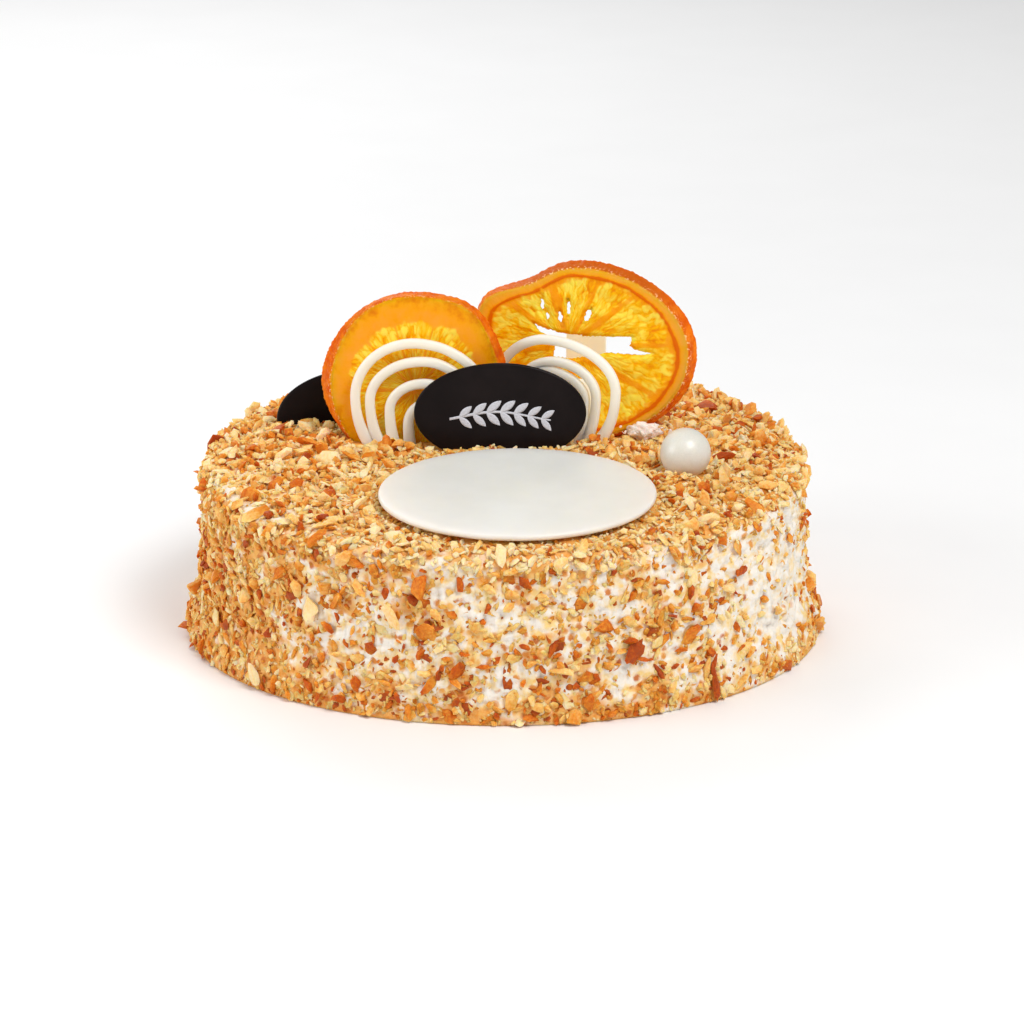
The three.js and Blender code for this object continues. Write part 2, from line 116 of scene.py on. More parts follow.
class NutSettings(PropertyGroup):
    """Sizes, numbers and colours of the chopped nuts."""

    large: length("Large", "Size of the largest scattered nuts", 7.6)
    chopped: length("Chopped", "Size of the larger chopped nuts", 5.2)
    fine: length("Fine", "Size up to which the nuts count as fine", 3.2)
    dust: length("Dust", "Size up to which the nuts count as dust", 1.7)
    least: length("Least", "Size of the smallest grains", 0.8)
    large_count: count("Large nuts", "Places tried for large nuts, on top and on the side", 640)
    chopped_count: count("Chopped nuts", "Places tried for chopped nuts", 3600)
    fine_count: count("Fine nuts", "Places tried for fine nuts", 8400)
    dust_count: count("Dust grains", "Places tried for grains of dust", 6000)
    pale: colour("Pale", "Colour of the raw inside of a nut", 253, 223, 174)
    golden: colour("Golden", "Colour of lightly roasted nuts", 245, 197, 118)
    roasted: colour("Roasted", "Colour of well roasted nuts", 228, 146, 48)
    brown: colour("Brown", "Colour of the most roasted faces", 198, 96, 16)
    skin: colour("Skin", "Colour of the nuts' papery skins", 164, 70, 24)


class SliceSettings(PropertyGroup):
    """Sizes and colours of the dried orange slices."""

    peel_half: length("Peel half thickness", "Half the thickness of the peel", 2.1)
    peel_width: length("Peel width", "Width of the peel on the cut face", 2.8)
    wedges: count("Wedges", "Number of wedges in a slice", 10)
    sac_width: length("Juice sac width", "Width of a juice sac, half way out", 1.1)
    sac_length: length("Juice sac length", "Length of a juice sac", 3.6)
    sac_relief: length("Juice sac relief", "Height of the juice sacs", 0.25)
    zest: colour("Zest", "Colour of the outer peel", 240, 126, 20)
    zest_deep: colour("Deep zest", "Colour of the darker blotches of the peel", 216, 88, 8)
    dried: colour("Dried skin", "Colour of the skin where it dried out most", 188, 88, 20)
    albedo: colour("Albedo", "Colour of the pale layer under the peel", 248, 168, 52)
    pith: colour("Pith", "Colour of the candied ring inside the peel", 243, 166, 10)
    pith_deep: colour("Deep pith", "Colour of the darkest ring lines", 222, 106, 2)
    flesh: colour("Flesh", "Colour of the juice sacs", 248, 190, 8)
    # The light flesh colour is partly clearer juice sacs and partly painted highlight.
    clear_flesh_and_highlight: colour("Light flesh", "Colour of the clearest juice sacs", 254, 224, 84)
    # The crease colour is partly the sacs' darker walls and partly painted shade in the creases
    # between them.
    crease_and_shade: colour("Crease", "Colour between the juice sacs", 236, 146, 4)
    # The sugar colour is partly the crust's own pale grains and partly painted glints along the
    # ridges.
    sugar: colour("Sugar", "Colour of the sugar that crusts the ridges", 255, 208, 150)


class ChocolateSettings(PropertyGroup):
    """Sizes and colours of the chocolate pieces and the pearl."""

    band_width: length("Band width", "Width of the piped arches", 3.4)
    foot_width: length("Foot width", "Width of the arches at their feet", 4.6)
    foot_height: length("Foot height", "Height over which the arches widen", 16)
    band_depth: length("Band depth", "Depth of the piped arches, front to back", 2.5)
    plate_edge: length("Plate edge", "Rounding of the plaques' edges", 0.7)
    print_height: length("Print height", "Height of the printed sprig", 0.12)
    pearl_radius: length("Pearl radius", "Radius of the sugar pearl", 8.5)
    ivory: colour("Ivory", "Colour of the arches and tiles", 244, 242, 222)
    plaque: colour("White plaque", "Colour of the white plaque", 240, 235, 220)
    dark: colour("Dark", "Colour of the dark chocolate", 20, 14, 14)
    silver: colour("Print", "Colour of the printed sprig", 206, 206, 214)
    pearl: colour("Pearl", "Colour of the sugar pearl", 222, 219, 208)


class StageSettings(PropertyGroup):
    """The floor, the light and the camera."""

    floor: colour("Floor", "Colour of the floor", 246, 246, 246)
    distance: length("Distance", "From the camera to the point it looks at", 1500)
    elevation: share("Elevation", "Camera's height above the horizon, in degrees", 17.45)
    lens: share("Lens", "Focal length of the camera, in millimetres", 154.5)
    key: share("Key light", "Power of the large soft light, in watts", 17.0)
    fill: share("Fill light", "Power of the light at the left, in watts", 8.0)
    back: share("Back light", "Power of the light behind, in watts", 4.5)
    sky: share("Sky", "Strength of the even light from all round", 0.44)


# ---------------------------------------------------------------- where the pieces are
# Places, and sizes without MM, are in millimetres, and turns in degrees. Each bulge of a slice's
# outline is a height, a direction and a half width. `bend` and `wave` are how far it bends back
# and ripples, `walls` the width of the walls between wedges at the middle and at the edge, and
# `albedo` is 1 where the pale layer shows. `dried` is how brown its top is, and `bevel` how far
# the skin slants at the right, the left and elsewhere. `sugar` is a share, a direction and a half
# width for each stretch of crusted edge, whose pale sugar grains are partly painted glints.
SLICES = {
    "left": {
        "radius": 31.3 * MM, "wide": 1, "tall": 1, "bend": 4.2 * MM, "wave": 0.7 * MM,
        "bulges": ((2.0, 54, 20), (1.8, 184, 26)),
        "at": (-30, 1, 84.9), "yaw": -5, "lean": 3, "dried": 0.25, "seed": 3, "holes": False,
        "flesh_middle": (0, -1.5), "flesh_share": 0.7, "walls": (0.9, 0.5), "albedo": 0.0,
        "flesh_half": 1.9 * MM, "sugar": ((1, 205, 45), (0.4, 100, 60)),
        "bevel": (2.8, 4.0, 0.9),
    },
    "right": {
        "radius": 33.5 * MM, "wide": 1.14, "tall": 0.93, "bend": 3.2 * MM, "wave": 1.3 * MM,
        "bulges": ((3.5, 157, 14), (-2.2, 130, 18)),
        "at": (27.3, 13, 93), "yaw": -14, "lean": 4, "dried": 0.9, "seed": 5, "holes": True,
        "flesh_middle": (-5.7, 1.8), "flesh_share": 0.81, "walls": (3.0, 1.0), "albedo": 1.0,
        "flesh_half": 1.3 * MM, "sugar": ((1, 110, 34), (1, -10, 70)),
        "bevel": (2.2, 1.2, 2.2),
    },
}
TORN_HOLE = np.array([
    (-18, 8.9), (-14.5, 7.4), (-8, 5.9), (0.7, 5.4), (16.6, 6), (15.8, 3.2), (17.6, 1.7),
    (23.6, 0.7), (19.6, -0.2), (8, 0.1), (2.4, -1.6), (-6, -2.9), (-10.8, -2.5), (-9.8, 4),
    (-15.2, 5.4),
]) * MM
SLITS = (  # x, z, width, length and tilt of each
    (-15, 15.4, 1.5, 3.6, 0), (-13, 11.4, 1.2, 2.9, 4), (-8.6, 11.2, 1.6, 3.6, 8),
    (-5.8, 14.5, 1.5, 4.6, 0), (1, 12.5, 1.9, 4.8, -28),
)

# Arches: [x, z] of the outer foot, outer side, top, inner side and inner foot of each.
ORNAMENTS = {
    "rings_left": {
        "at": (-28, -5, 0), "yaw": -6,
        "arches": (
            ((-9, 60), (-22.4, 81.3), (-1.7, 100.6), (23.4, 78), (19, 60)),
            ((-7.5, 60), (-17.4, 80), (1.1, 94.3), (18.2, 76.5), (16, 60)),
            ((-5, 60), (-10.7, 76.8), (1.4, 86.6), (13, 74), (12.5, 60)),
            ((-2, 60), (-4.3, 72.6), (2.5, 79.6), (8.5, 71), (9, 60)),
        ),
    },
    "rings_right": {
        "at": (30, -5.5, 0), "yaw": -24,
        "arches": (
            ((-8.5, 61.5), (8.3, 84.5), (-15.9, 100.3), (-36.1, 80), (-32.3, 60)),
            ((-10.5, 61), (1.1, 81.9), (-13.4, 92.9), (-28.5, 78), (-27.4, 60)),
            ((-9.3, 60), (-3, 80.5), (-17.5, 89.6), (-25.2, 76), (-23.5, 60)),
        ),
    },
}
DARK_PLAQUE = {"wide": 29, "tall": 17.4, "thick": 1.7}
DARK_PLACES = {
    "dark_plaque_front": {"at": (-1.3, -11, 78.1), "yaw": 0, "lean": 0},
    "dark_plaque_back": {"at": (-49.4, 25, 66), "yaw": 4, "lean": 3},
}
WHITE_PLAQUE = {
    "wide": 45.7, "tall": 37.5, "thick": 1.9, "at": (4.5, -55.4, 63.45), "yaw": 4.4, "lean": -5.6,
}
TILES = {
    "white_tile_back": {"at": (28.1, 24, 81), "tall": 38.5, "yaw": -8, "lean": 2},
    "white_tile_front": {"at": (24.2, 5.4, 73.2), "tall": 24.4, "yaw": -14, "lean": 0},
}
TILE_WIDE = 13.8
TILE_THICK = 2.4
TILE_LIP = 0.4
PEARL_AT = (60.5, -27.5, 68.9)
# How far from their middle the slices, the arches and the pearl keep nuts away.
SLICE_ROOM, ARCH_ROOM, PEARL_ROOM = 2.3, 1.3, 8.5
# The printed sprig: half its length, the stem's wave, how many half turns it has, where it starts
# and how far it is moved down, the stem's half width at each end, and how far leaves sink in.
# Then the pairs of leaves, their length, how much shorter they get away from the longest, their
# tilt, and how much less each next pair tilts.
SPRIG = {
    "half": 17, "wave": 1.6, "turns": 1.5, "start": 0.6, "drop": 1.0, "stem": (0.55, 0.3),
    "sunk": 0.05, "pairs": 7, "leaf": 6.6, "shorter": 0.35, "longest": 2.5, "tilt": 42,
    "less": 1.5,
}
# Where nuts cover the side: the share of it that they cover everywhere, what bare stretches
# take away and thick ones add, each as a share, a direction and a half width, what the foot and
# the top edge add, and random clumps, each as a share, a size and a seed.
COVER = {
    "everywhere": 0.74, "bare": ((0.55, -27, 21), (0.1, -70, 22)), "bare_spot": (0.16, -116, 14),
    "thick": ((0.4, -174, 40), (0.2, 4, 12)), "foot": 0.22, "edge": 0.12,
    "clumps": ((0.26, 0.17, 8), (0.18, 0.06, 9)), "thin_shoulder": ((0.6, -152, 24),),
}
# How roasted the nuts are, from 0 to 1: what the top and the side add, and the stretches of each
# that are paler. Of the larger nuts, fewer stay on the top, and on the side in one stretch.
ROAST = {
    "top": -0.03, "side": 0.15, "paler_top": ((0.18, -90, 45),),
    "paler_side": ((0.18, -24, 26), (0.1, 180, 40)), "clumps": 0.13,
}
FEWER_LARGER = {"top": 0.62, "side": ((0.6, -28, 20),)}
# Banks of nuts on the top: x, y, height and spread of each.
BANKS = (
    (30, -12, 3.4, 9), (15, -16, 1.6, 7), (-12, -15, 1.8, 9), (-38, -11, 3.2, 8),
    (-56, 2, 1.4, 7), (-64, 14, 1.5, 8), (-75, 17, 2.4, 6), (60, -38, 2.6, 7),
    (52, 10, 1.6, 8), (44, 24, 1.4, 10), (72, 58, 0.8, 12), (58, 67, 3.2, 11),
)
DAB_AT = (47.6, 2.2, 67.9)
DAB_SIZE = (5.4, 1.8, 3.0)
# The nuts that catch the eye: direction in degrees, place on the coat, size in millimetres
# and roast of each. See `coat` for the place.
NOTABLE_NUTS = (
    (169.7, 2.18, 6.0, 0.86), (-169.1, 2.47, 4.8, -0.1), (-158.7, 2.32, 4.2, 0.85),
    (-179.6, 2.38, 4.5, 0.75), (-152.0, 2.11, 4.5, -0.1), (-141.1, 1.72, 4.5, 0.9),
    (-158.1, 2.24, 4.0, 0.7), (-151.2, 1.97, 6.0, 0.62), (-140.3, 2.13, 5.5, 0.6),
    (-126.9, 1.5, 5.5, 0.6), (-167.7, 2.59, 6.0, 0.2), (-155.3, 2.74, 5.0, 0.2),
    (32.7, 2.14, 7.0, 0.9), (31.0, 1.93, 5.0, 0.85), (14.1, 2.21, 5.0, 0.85),
    (-5.3, 2.1, 5.5, 0.95), (-42.0, 2.24, 5.5, 0.85), (-40.9, 2.2, 4.0, 0.8),
    (-21.4, 2.66, 5.0, 0.95), (-127.5, 0.65, 7.5, 0.1), (-110.3, 0.67, 6.8, 0.1),
    (-124.6, 0.78, 5.5, 0.45), (-118.2, 0.99, 5.5, 0.62), (-121.7, 0.71, 6.0, 0.66),
    (-105.1, 0.88, 6.5, 0.75), (-130.3, 0.57, 3.4, 0.95), (-114.3, 0.45, 4.2, 0.9),
    (-104.0, 0.6, 7.0, 0.66), (-97.8, 0.37, 6.0, 0.85), (-103.4, 0.25, 5.0, 0.72),
    (-139.9, 0.09, 6.0, 0.1), (-66.1, 0.43, 7.0, 0.95), (-71.6, 0.62, 6.0, 0.75),
    (-49.3, 0.06, 6.0, 0.95), (-41.5, 0.77, 4.4, 0.88), (-20.9, 0.79, 4.5, 0.62),
    (-46.0, 1.17, 5.0, 0.68), (-57.6, 1.13, 6.0, 0.45), (-53.8, 0.47, 7.0, 0.7),
    (-74.5, 0.14, 7.5, 0.7), (-29.3, 0.4, 4.5, 0.35), (-39.6, 0.24, 5.0, 0.4),
    (-4.0, 0.3, 6.5, 0.6), (2.0, 0.12, 6.5, 0.7), (-9.0, 0.1, 6.0, 0.5), (-176, 0.3, 6.0, 0.5),
)


# ---------------------------------------------------------------- numbers
def smooth(low, high, value):
    """0 at low and 1 at high, with 3t^2 - 2t^3 between them and level beyond."""
    part = np.clip((value - low) / (high - low), 0, 1)
    return part * part * (3 - 2 * part)


def mix(start, end, part):
    """Straight line from start to end."""
    return start + (end - start) * part


def even_turns(number):
    """Angles of even steps round a full turn."""
    return np.arange(number) / number * TAU


def xyz(*axes):
    """Arrays of coordinates as one array of points."""
    return np.stack(axes, axis=-1)


def blunt(wave, power):
    """A sine or cosine to a power under 1, its sign kept, which squares up a circle."""
    return np.sign(wave) * np.abs(wave) ** power


def ball(columns, rows, limit):
    """Rings of points on a ball one unit in radius, up to `limit` radians from its equator."""
    turn, rise = np.meshgrid(even_turns(columns), np.linspace(-limit, limit, rows))
    return xyz(np.cos(rise) * np.cos(turn), np.cos(rise) * np.sin(turn), np.sin(rise))


def waves(points, size, seed, number=14):
    """Soft random relief of about -1 to 1: the sum of cosine waves in seeded directions, each
    about `size` long, divided by 1.6 times the square root of half their number."""
    random = np.random.default_rng(seed)
    directions = random.normal(size=(number, points.shape[-1]))
    directions /= np.linalg.norm(directions, axis=1, keepdims=True)
    lengths = size * random.uniform(0.6, 1.6, number)
    phases = random.uniform(0, TAU, number)
    total = np.zeros(points.shape[:-1])
    for direction, wave, phase in zip(directions, lengths, phases):
        total += np.cos(points @ direction * (TAU / wave) + phase)
    return total / math.sqrt(number / 2) / 1.6


def cells(across, along, period, seed):
    """Cell pattern with one jittered point in each unit square. For every place it gives the
    distance to the nearest point, how much further the next one is, and a number of 0 to 1 that
    belongs to the nearest. `period` squares across, the pattern closes on itself."""
    table = np.random.default_rng(seed).random((period, 64, 3))
    column, row = np.floor(across).astype(int), np.floor(along).astype(int)
    nearest = np.full(across.shape, 9.0)
    second = nearest.copy()
    own = np.zeros(across.shape)
    for right in (-1, 0, 1):
        for up in (-1, 0, 1):
            spot = table[(column + right) % period, (row + up) % 64]
            away = np.hypot(column + right + spot[..., 0] - across, row + up + spot[..., 1] - along)
            closer = away < nearest
            second = np.where(closer, nearest, np.minimum(second, away))
            own = np.where(closer, spot[..., 2], own)
            nearest = np.where(closer, away, nearest)
    return nearest, second - nearest, own


def turning(yaw, lean=0):
    """Rotation of a piece that is turned by yaw about Z after it leans back by lean, degrees."""
    a, b = math.radians(yaw), math.radians(-lean)
    about_z = np.array([[math.cos(a), -math.sin(a), 0], [math.sin(a), math.cos(a), 0], [0, 0, 1]])
    about_x = np.array([[1, 0, 0], [0, math.cos(b), -math.sin(b)], [0, math.sin(b), math.cos(b)]])
    return about_z @ about_x


def placed(points, place):
    """Points of a piece's own frame, moved to where the piece is."""
    rotation = turning(place["yaw"], place.get("lean", 0))
    return points @ rotation.T + np.array(place["at"]) * MM


def unplaced(points, place):
    """Points of the cake's frame, in a piece's own frame."""
    rotation = turning(place["yaw"], place.get("lean", 0))
    return (points - np.array(place["at"]) * MM) @ rotation


# ---------------------------------------------------------------- meshes
def ring_faces(rows, columns, close_rows=False):
    """Quads of a grid whose columns close on themselves, and its rows too if asked."""
    row = np.arange(rows if close_rows else rows - 1)[:, None]
    column = np.arange(columns)[None, :]
    below, above = row * columns, (row + 1) % rows * columns
    beside = (column + 1) % columns
    corners = (below + column, below + beside, above + beside, above + column)
    return np.stack(corners, axis=-1).reshape(-1, 4)


def lofted(rows, close_rows=False):
    """Closed skin over rows of points, an array of rows x columns x 3. Its ends close in a
    fan on their middle point unless the rows close on themselves. Gives points and faces."""
    number, columns = rows.shape[:2]
    points = rows.reshape(-1, 3)
    quads = ring_faces(number, columns, close_rows)
    faces = quads.tolist()
    if not close_rows:
        points = np.concatenate([points, rows[:1].mean(axis=1), rows[-1:].mean(axis=1)])
        first, last = len(points) - 2, len(points) - 1
        column = np.arange(columns)
        beside = (column + 1) % columns
        top = (number - 1) * columns
        faces += np.stack([beside, column, np.full(columns, first)], axis=-1).tolist()
        faces += np.stack([top + column, top + beside, np.full(columns, last)], axis=-1).tolist()
    spread = points[quads] - points.mean(axis=0)
    first_half = np.einsum("ij,ij->i", spread[:, 0], np.cross(spread[:, 1], spread[:, 2]))
    second_half = np.einsum("ij,ij->i", spread[:, 0], np.cross(spread[:, 2], spread[:, 3]))
    if first_half.sum() + second_half.sum() < 0:
        faces = [face[::-1] for face in faces]
    return points, faces


def copies(bits, faces):
    """Bits that share their faces, an array of bits x corners x 3, as one mesh's points and
    faces."""
    starts = np.arange(len(bits))[:, None, None] * bits.shape[1]
    return bits.reshape(-1, 3), (faces[None] + starts).reshape(-1, 3)


def joined(parts):
    """Several (points, faces) as one."""
    points, faces, start = [], [], 0
    for some_points, some_faces in parts:
        points.append(some_points)
        faces += [[corner + start for corner in face] for face in some_faces]
        start += len(some_points)
    return np.concatenate(points), faces


def piece(name, points, faces, material, slot, nodes=(), values=None, flat=False):
    """A finished piece: its mesh with `values` as point attributes, its material, a slot that is
    not used, and the nodes that it stands for. It rides on the one body."""
    mesh = bpy.data.meshes.new(name)
    mesh.from_pydata(points, [], faces)
    for attribute, numbers in (values or {}).items():
        numbers = np.asarray(numbers, np.float32)
        kind, field = ("FLOAT", "value") if numbers.ndim == 1 else ("FLOAT_VECTOR", "vector")
        mesh.attributes.new(attribute, kind, "POINT").data.foreach_set(field, numbers.ravel())
    mesh.polygons.foreach_set("use_smooth", np.full(len(mesh.polygons), not flat))
    mesh.materials.append(material)
    mesh.update()
    made = bpy.data.objects.new(name, mesh)
    bpy.context.scene.collection.objects.link(made)
    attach(made, "root")
    if nodes:
        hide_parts(*nodes)
    return made


# ---------------------------------------------------------------- materials
class Shader:
    """A node material under construction round one Principled shader. `soft` is the share of
    light that sinks in and how far each colour of it goes, in millimetres."""

    def __init__(self, name, soft=None, **sockets):
        if soft:
            weight, *reach = soft
            sockets.update(Subsurface_Weight=weight, Subsurface_Scale=1.0,
                           Subsurface_Radius=tuple(part * MM for part in reach))
        self.material = bpy.data.materials.new(name)
        self.material.use_nodes = True
        self.tree = self.material.node_tree
        self.surface = self.tree.nodes["Principled BSDF"]
        for socket, value in sockets.items():
            self.surface.inputs[socket.replace("_", " ")].default_value = value

    def node(self, kind, inputs=None, **settings):
        """A new node with its settings, and its inputs linked or set."""
        made = self.tree.nodes.new(kind)
        for setting, value in settings.items():
            setattr(made, setting, value)
        for socket, value in (inputs or {}).items():
            if isinstance(value, bpy.types.NodeSocket):
                self.tree.links.new(value, made.inputs[socket])
            else:
                made.inputs[socket].default_value = value
        return made

    def place(self):
        """Object coordinates, in metres."""
        return self.node("ShaderNodeTexCoord").outputs["Object"]

    def value(self, attribute):
        """A number that the mesh carries at each of its points."""
        return self.node("ShaderNodeAttribute", attribute_name=attribute).outputs["Fac"]

    def noise(self, size, detail=3.0, rough=0.55, stretch=(1, 1, 1)):
        """Noise whose blotches are about `size` across, longer where stretch is under 1."""
        where = self.node("ShaderNodeMapping", {"Vector": self.place(), "Scale": stretch})
        inputs = {"Vector": where.outputs[0], "Scale": 1 / size, "Detail": detail,
                  "Roughness": rough}
        return self.node("ShaderNodeTexNoise", inputs).outputs["Fac"]

    def ramp(self, factor, stops):
        """Colours along 0 to 1, given as (position, colour)."""
        made = self.node("ShaderNodeValToRGB", {"Fac": factor})
        band = made.color_ramp
        while len(band.elements) < len(stops):
            band.elements.new(1)
        for element, (position, shade) in zip(band.elements, stops):
            element.position = position
            element.color = (*shade, 1) if len(shade) == 3 else shade
        return made.outputs["Color"]

    def level(self, value, low, high, out_low=0.0, out_high=1.0):
        """A value's stretch from low to high, spread over out_low to out_high."""
        inputs = {"Value": value, "From Min": low, "From Max": high, "To Min": out_low,
                  "To Max": out_high}
        return self.node("ShaderNodeMapRange", inputs).outputs["Result"]

    def math(self, operation, first, second):
        """A sum, product or other operation on two numbers."""
        made = self.node("ShaderNodeMath", operation=operation)
        for socket, value in zip(made.inputs, (first, second)):
            if isinstance(value, bpy.types.NodeSocket):
                self.tree.links.new(value, socket)
            else:
                socket.default_value = value
        return made.outputs[0]

    def blend(self, factor, first, second, mode="MIX"):
        """Two colours mixed by a factor."""
        made = self.node("ShaderNodeMix", data_type="RGBA", blend_type=mode)
        for socket, value in zip((made.inputs[0], made.inputs[6], made.inputs[7]),
                                 (factor, first, second)):
            if isinstance(value, bpy.types.NodeSocket):
                self.tree.links.new(value, socket)
            elif hasattr(value, "__len__"):
                socket.default_value = (*value, 1)
            else:
                socket.default_value = value
        return made.outputs[2]

    def clouds(self, noise, low, high, shade, share):
        """Colours the surface with `share` of a shade up to `low` of a noise, going over to the
        whole shade at `high`."""
        darker = tuple(np.array(shade) * share)
        self.set("Base Color", self.ramp(noise, ((low, darker), (high, tuple(shade)))))

    def bump(self, height, distance, strength=1.0):
        """Relief as high as `distance`, in metres."""
        inputs = {"Height": height, "Distance": distance, "Strength": strength}
        normal = self.node("ShaderNodeBump", inputs).outputs["Normal"]
        self.tree.links.new(normal, self.surface.inputs["Normal"])

    def set(self, socket, output):
        """Links an output to one of the surface's sockets."""
        self.tree.links.new(output, self.surface.inputs[socket])


SUNKEN_TONES = ((0.0, srgb(240, 190, 106)), (0.35, srgb(232, 164, 66)),
                (0.7, srgb(212, 126, 36)), (1.0, srgb(188, 94, 22)))


def cream_material(settings):
    """Whipped cream with nuts sunk in it. The mesh carries `crust`, from 0 in bare cream to 1
    where nuts cover all. The sunken nuts are cells of a Voronoi pattern: each is there or not,
    and pale or roasted, by its own random colour. The cream is stained yellow in patches."""
    made = Shader("whipped_cream", (0.2, 2, 1.6, 1.2), Roughness=0.55, Specular_IOR_Level=0.35)
    crust = made.value("crust")
    limit = made.level(crust, 0.0, 1.0, 0.68, 0.46)
    patch = made.math("SUBTRACT", made.noise(3.6 * MM, 3, 0.55), limit)
    plain = made.blend(made.level(patch, -0.14, 0.1), settings.cream, settings.stain)
    # Where nuts cover all, the cream turns to the bed colour: the nuts beneath, darkened by painted
    # warm shade for the gaps between them.
    paler = tuple(mix(np.array(settings.bed_and_gap_shade), np.array(settings.stain), 0.5))
    bed_and_gap_shade = made.ramp(made.noise(1.8 * MM, 3, 0.6), ((0.35, settings.bed_and_gap_shade), (0.65, paler)))
    ground = made.blend(made.level(crust, 0.75, 0.98), plain, bed_and_gap_shade)
    cell = made.node("ShaderNodeTexVoronoi", {"Vector": made.place(),
                                              "Scale": 1 / settings.sunken})
    own = made.node("ShaderNodeSeparateColor", {"Color": cell.outputs["Color"]}).outputs
    ragged = made.math("ADD", cell.outputs["Distance"],
                       made.level(made.noise(1.4 * MM, 3, 0.5), 0.3, 0.7, -0.12, 0.12))
    shape = made.level(ragged, 0.26, 0.54, 0.95, 0.0)
    likely = made.level(crust, 0.2, 1.0, 0.06, 0.95)
    there = made.level(made.math("SUBTRACT", likely, own["Red"]), -0.02, 0.02)
    tone = made.ramp(own["Green"], SUNKEN_TONES)
    made.set("Base Color", made.blend(made.math("MULTIPLY", shape, there), ground, tone))
    made.bump(made.noise(1.3 * MM, 4, 0.6, (1, 1, 0.45)), 0.8 * MM, 0.55)
    return made.material


def dab_material(settings):
    """The pinkish dab of cream, with a grainy surface."""
    made = Shader("cream_dab", (0.4, 3, 2, 1.6), Roughness=0.5)
    warmer = tuple(np.array(settings.dab) * (0.98, 0.84, 0.76))
    made.set("Base Color", made.ramp(made.noise(2 * MM), ((0.4, settings.dab), (0.7, warmer))))
    made.bump(made.noise(1 * MM, 3, 0.6), 0.6 * MM, 0.8)
    return made.material


def nut_material(settings):
    """Chopped roasted nuts. The mesh carries `roast`, from 0 pale to 1 dark skin."""
    made = Shader("roasted_nuts", (0.5, 3, 1.6, 0.6), Roughness=0.45, Specular_IOR_Level=0.15)
    speck = made.level(made.noise(1.1 * MM, 3, 0.6), 0.3, 0.7, -0.12, 0.12)
    roast = made.math("ADD", made.value("roast"), speck)
    stops = ((0.0, settings.pale), (0.3, settings.golden), (0.56, settings.roasted),
             (0.8, settings.brown), (1.0, settings.skin))
    made.set("Base Color", made.ramp(roast, stops))
    made.bump(made.noise(1.1 * MM, 4, 0.6), 0.4 * MM, 0.8)
    return made.material


def flesh_material(settings):
    """Dried orange flesh. The mesh carries `pulp`, 1 in the juice sacs and 0 in the candied
    ring, `lit`, how light the sacs are drawn, partly their own tone and clearness and partly
    painted shade between them and painted glints, `rind`, how pale the ring is, and `rays`,
    directions from the flesh's middle that draw noise out into fine streaks."""
    made = Shader("orange_flesh", (0.8, 5, 3, 0.8), Roughness=0.25, Specular_IOR_Level=0.07,
                  Coat_Weight=0.04, Coat_Roughness=0.08)
    rays = made.node("ShaderNodeAttribute", attribute_name="rays").outputs["Vector"]
    streak = made.node("ShaderNodeTexNoise", {"Vector": rays, "Scale": 1, "Detail": 4})
    streak = streak.outputs["Fac"]
    lit = made.math("ADD", made.value("lit"), made.level(streak, 0.32, 0.68, -0.26, 0.26))
    # The ramp runs from the crease colour, partly painted shade, through the flesh to the light
    # flesh colour, partly painted highlight.
    pulp = made.ramp(lit, ((0.0, settings.crease_and_shade), (0.36, settings.flesh),
                           (0.85, settings.clear_flesh_and_highlight)))
    ring = ring_colour(made, settings)
    made.set("Base Color", made.blend(made.value("pulp"), ring, pulp))
    grain = made.math("ADD", made.math("MULTIPLY", streak, 1.4), made.noise(0.7 * MM, 3, 0.6))
    made.bump(grain, 0.2 * MM, 0.7)
    return made.material


def ring_colour(made, settings):
    """Colour of the candied ring, from its darkest line to the pale layer under the peel. The
    mesh carries `rind`, how pale it is."""
    mottle = made.level(made.noise(3.4 * MM, 4, 0.6), 0.3, 0.7, -0.26, 0.26)
    rind = made.math("ADD", made.value("rind"), mottle)
    return made.ramp(rind, ((0.05, settings.pith_deep), (0.5, settings.pith),
                            (0.95, settings.albedo)))


def peel_material(settings):
    """Candied peel. The mesh carries `zest`, 1 on the outer skin and 0 on the cut face, `rind`,
    how pale the cut face is, `ridge`, 1 where sugar crusts the edge between them, and `brown`,
    how far the skin dried out. The sugar's pale grains are partly the crust's own colour and
    partly painted glints."""
    made = Shader("orange_peel", (0.7, 4, 1.8, 0.5), Roughness=0.3, Specular_IOR_Level=0.02)
    mottle = made.noise(4 * MM, 3, 0.55)
    skin = made.ramp(mottle, ((0.38, settings.zest_deep), (0.62, settings.zest)))
    skin = made.blend(made.value("brown"), skin, settings.dried)
    body = made.blend(made.value("zest"), ring_colour(made, settings), skin)
    # Pale sugar grains on the ridge: partly the crust's own colour and partly painted glints.
    grains = made.level(made.noise(0.9 * MM, 1, 0.5), 0.55, 0.65)
    sugar = made.math("MULTIPLY", made.value("ridge"), grains)
    made.set("Base Color", made.blend(sugar, body, settings.sugar))
    pores = made.node("ShaderNodeTexVoronoi", {"Vector": made.place(), "Scale": 1 / (1.3 * MM)})
    pits = made.level(pores.outputs["Distance"], 0.0, 0.6)
    made.bump(made.math("ADD", pits, made.noise(0.9 * MM)), 0.18 * MM, 0.6)
    return made.material


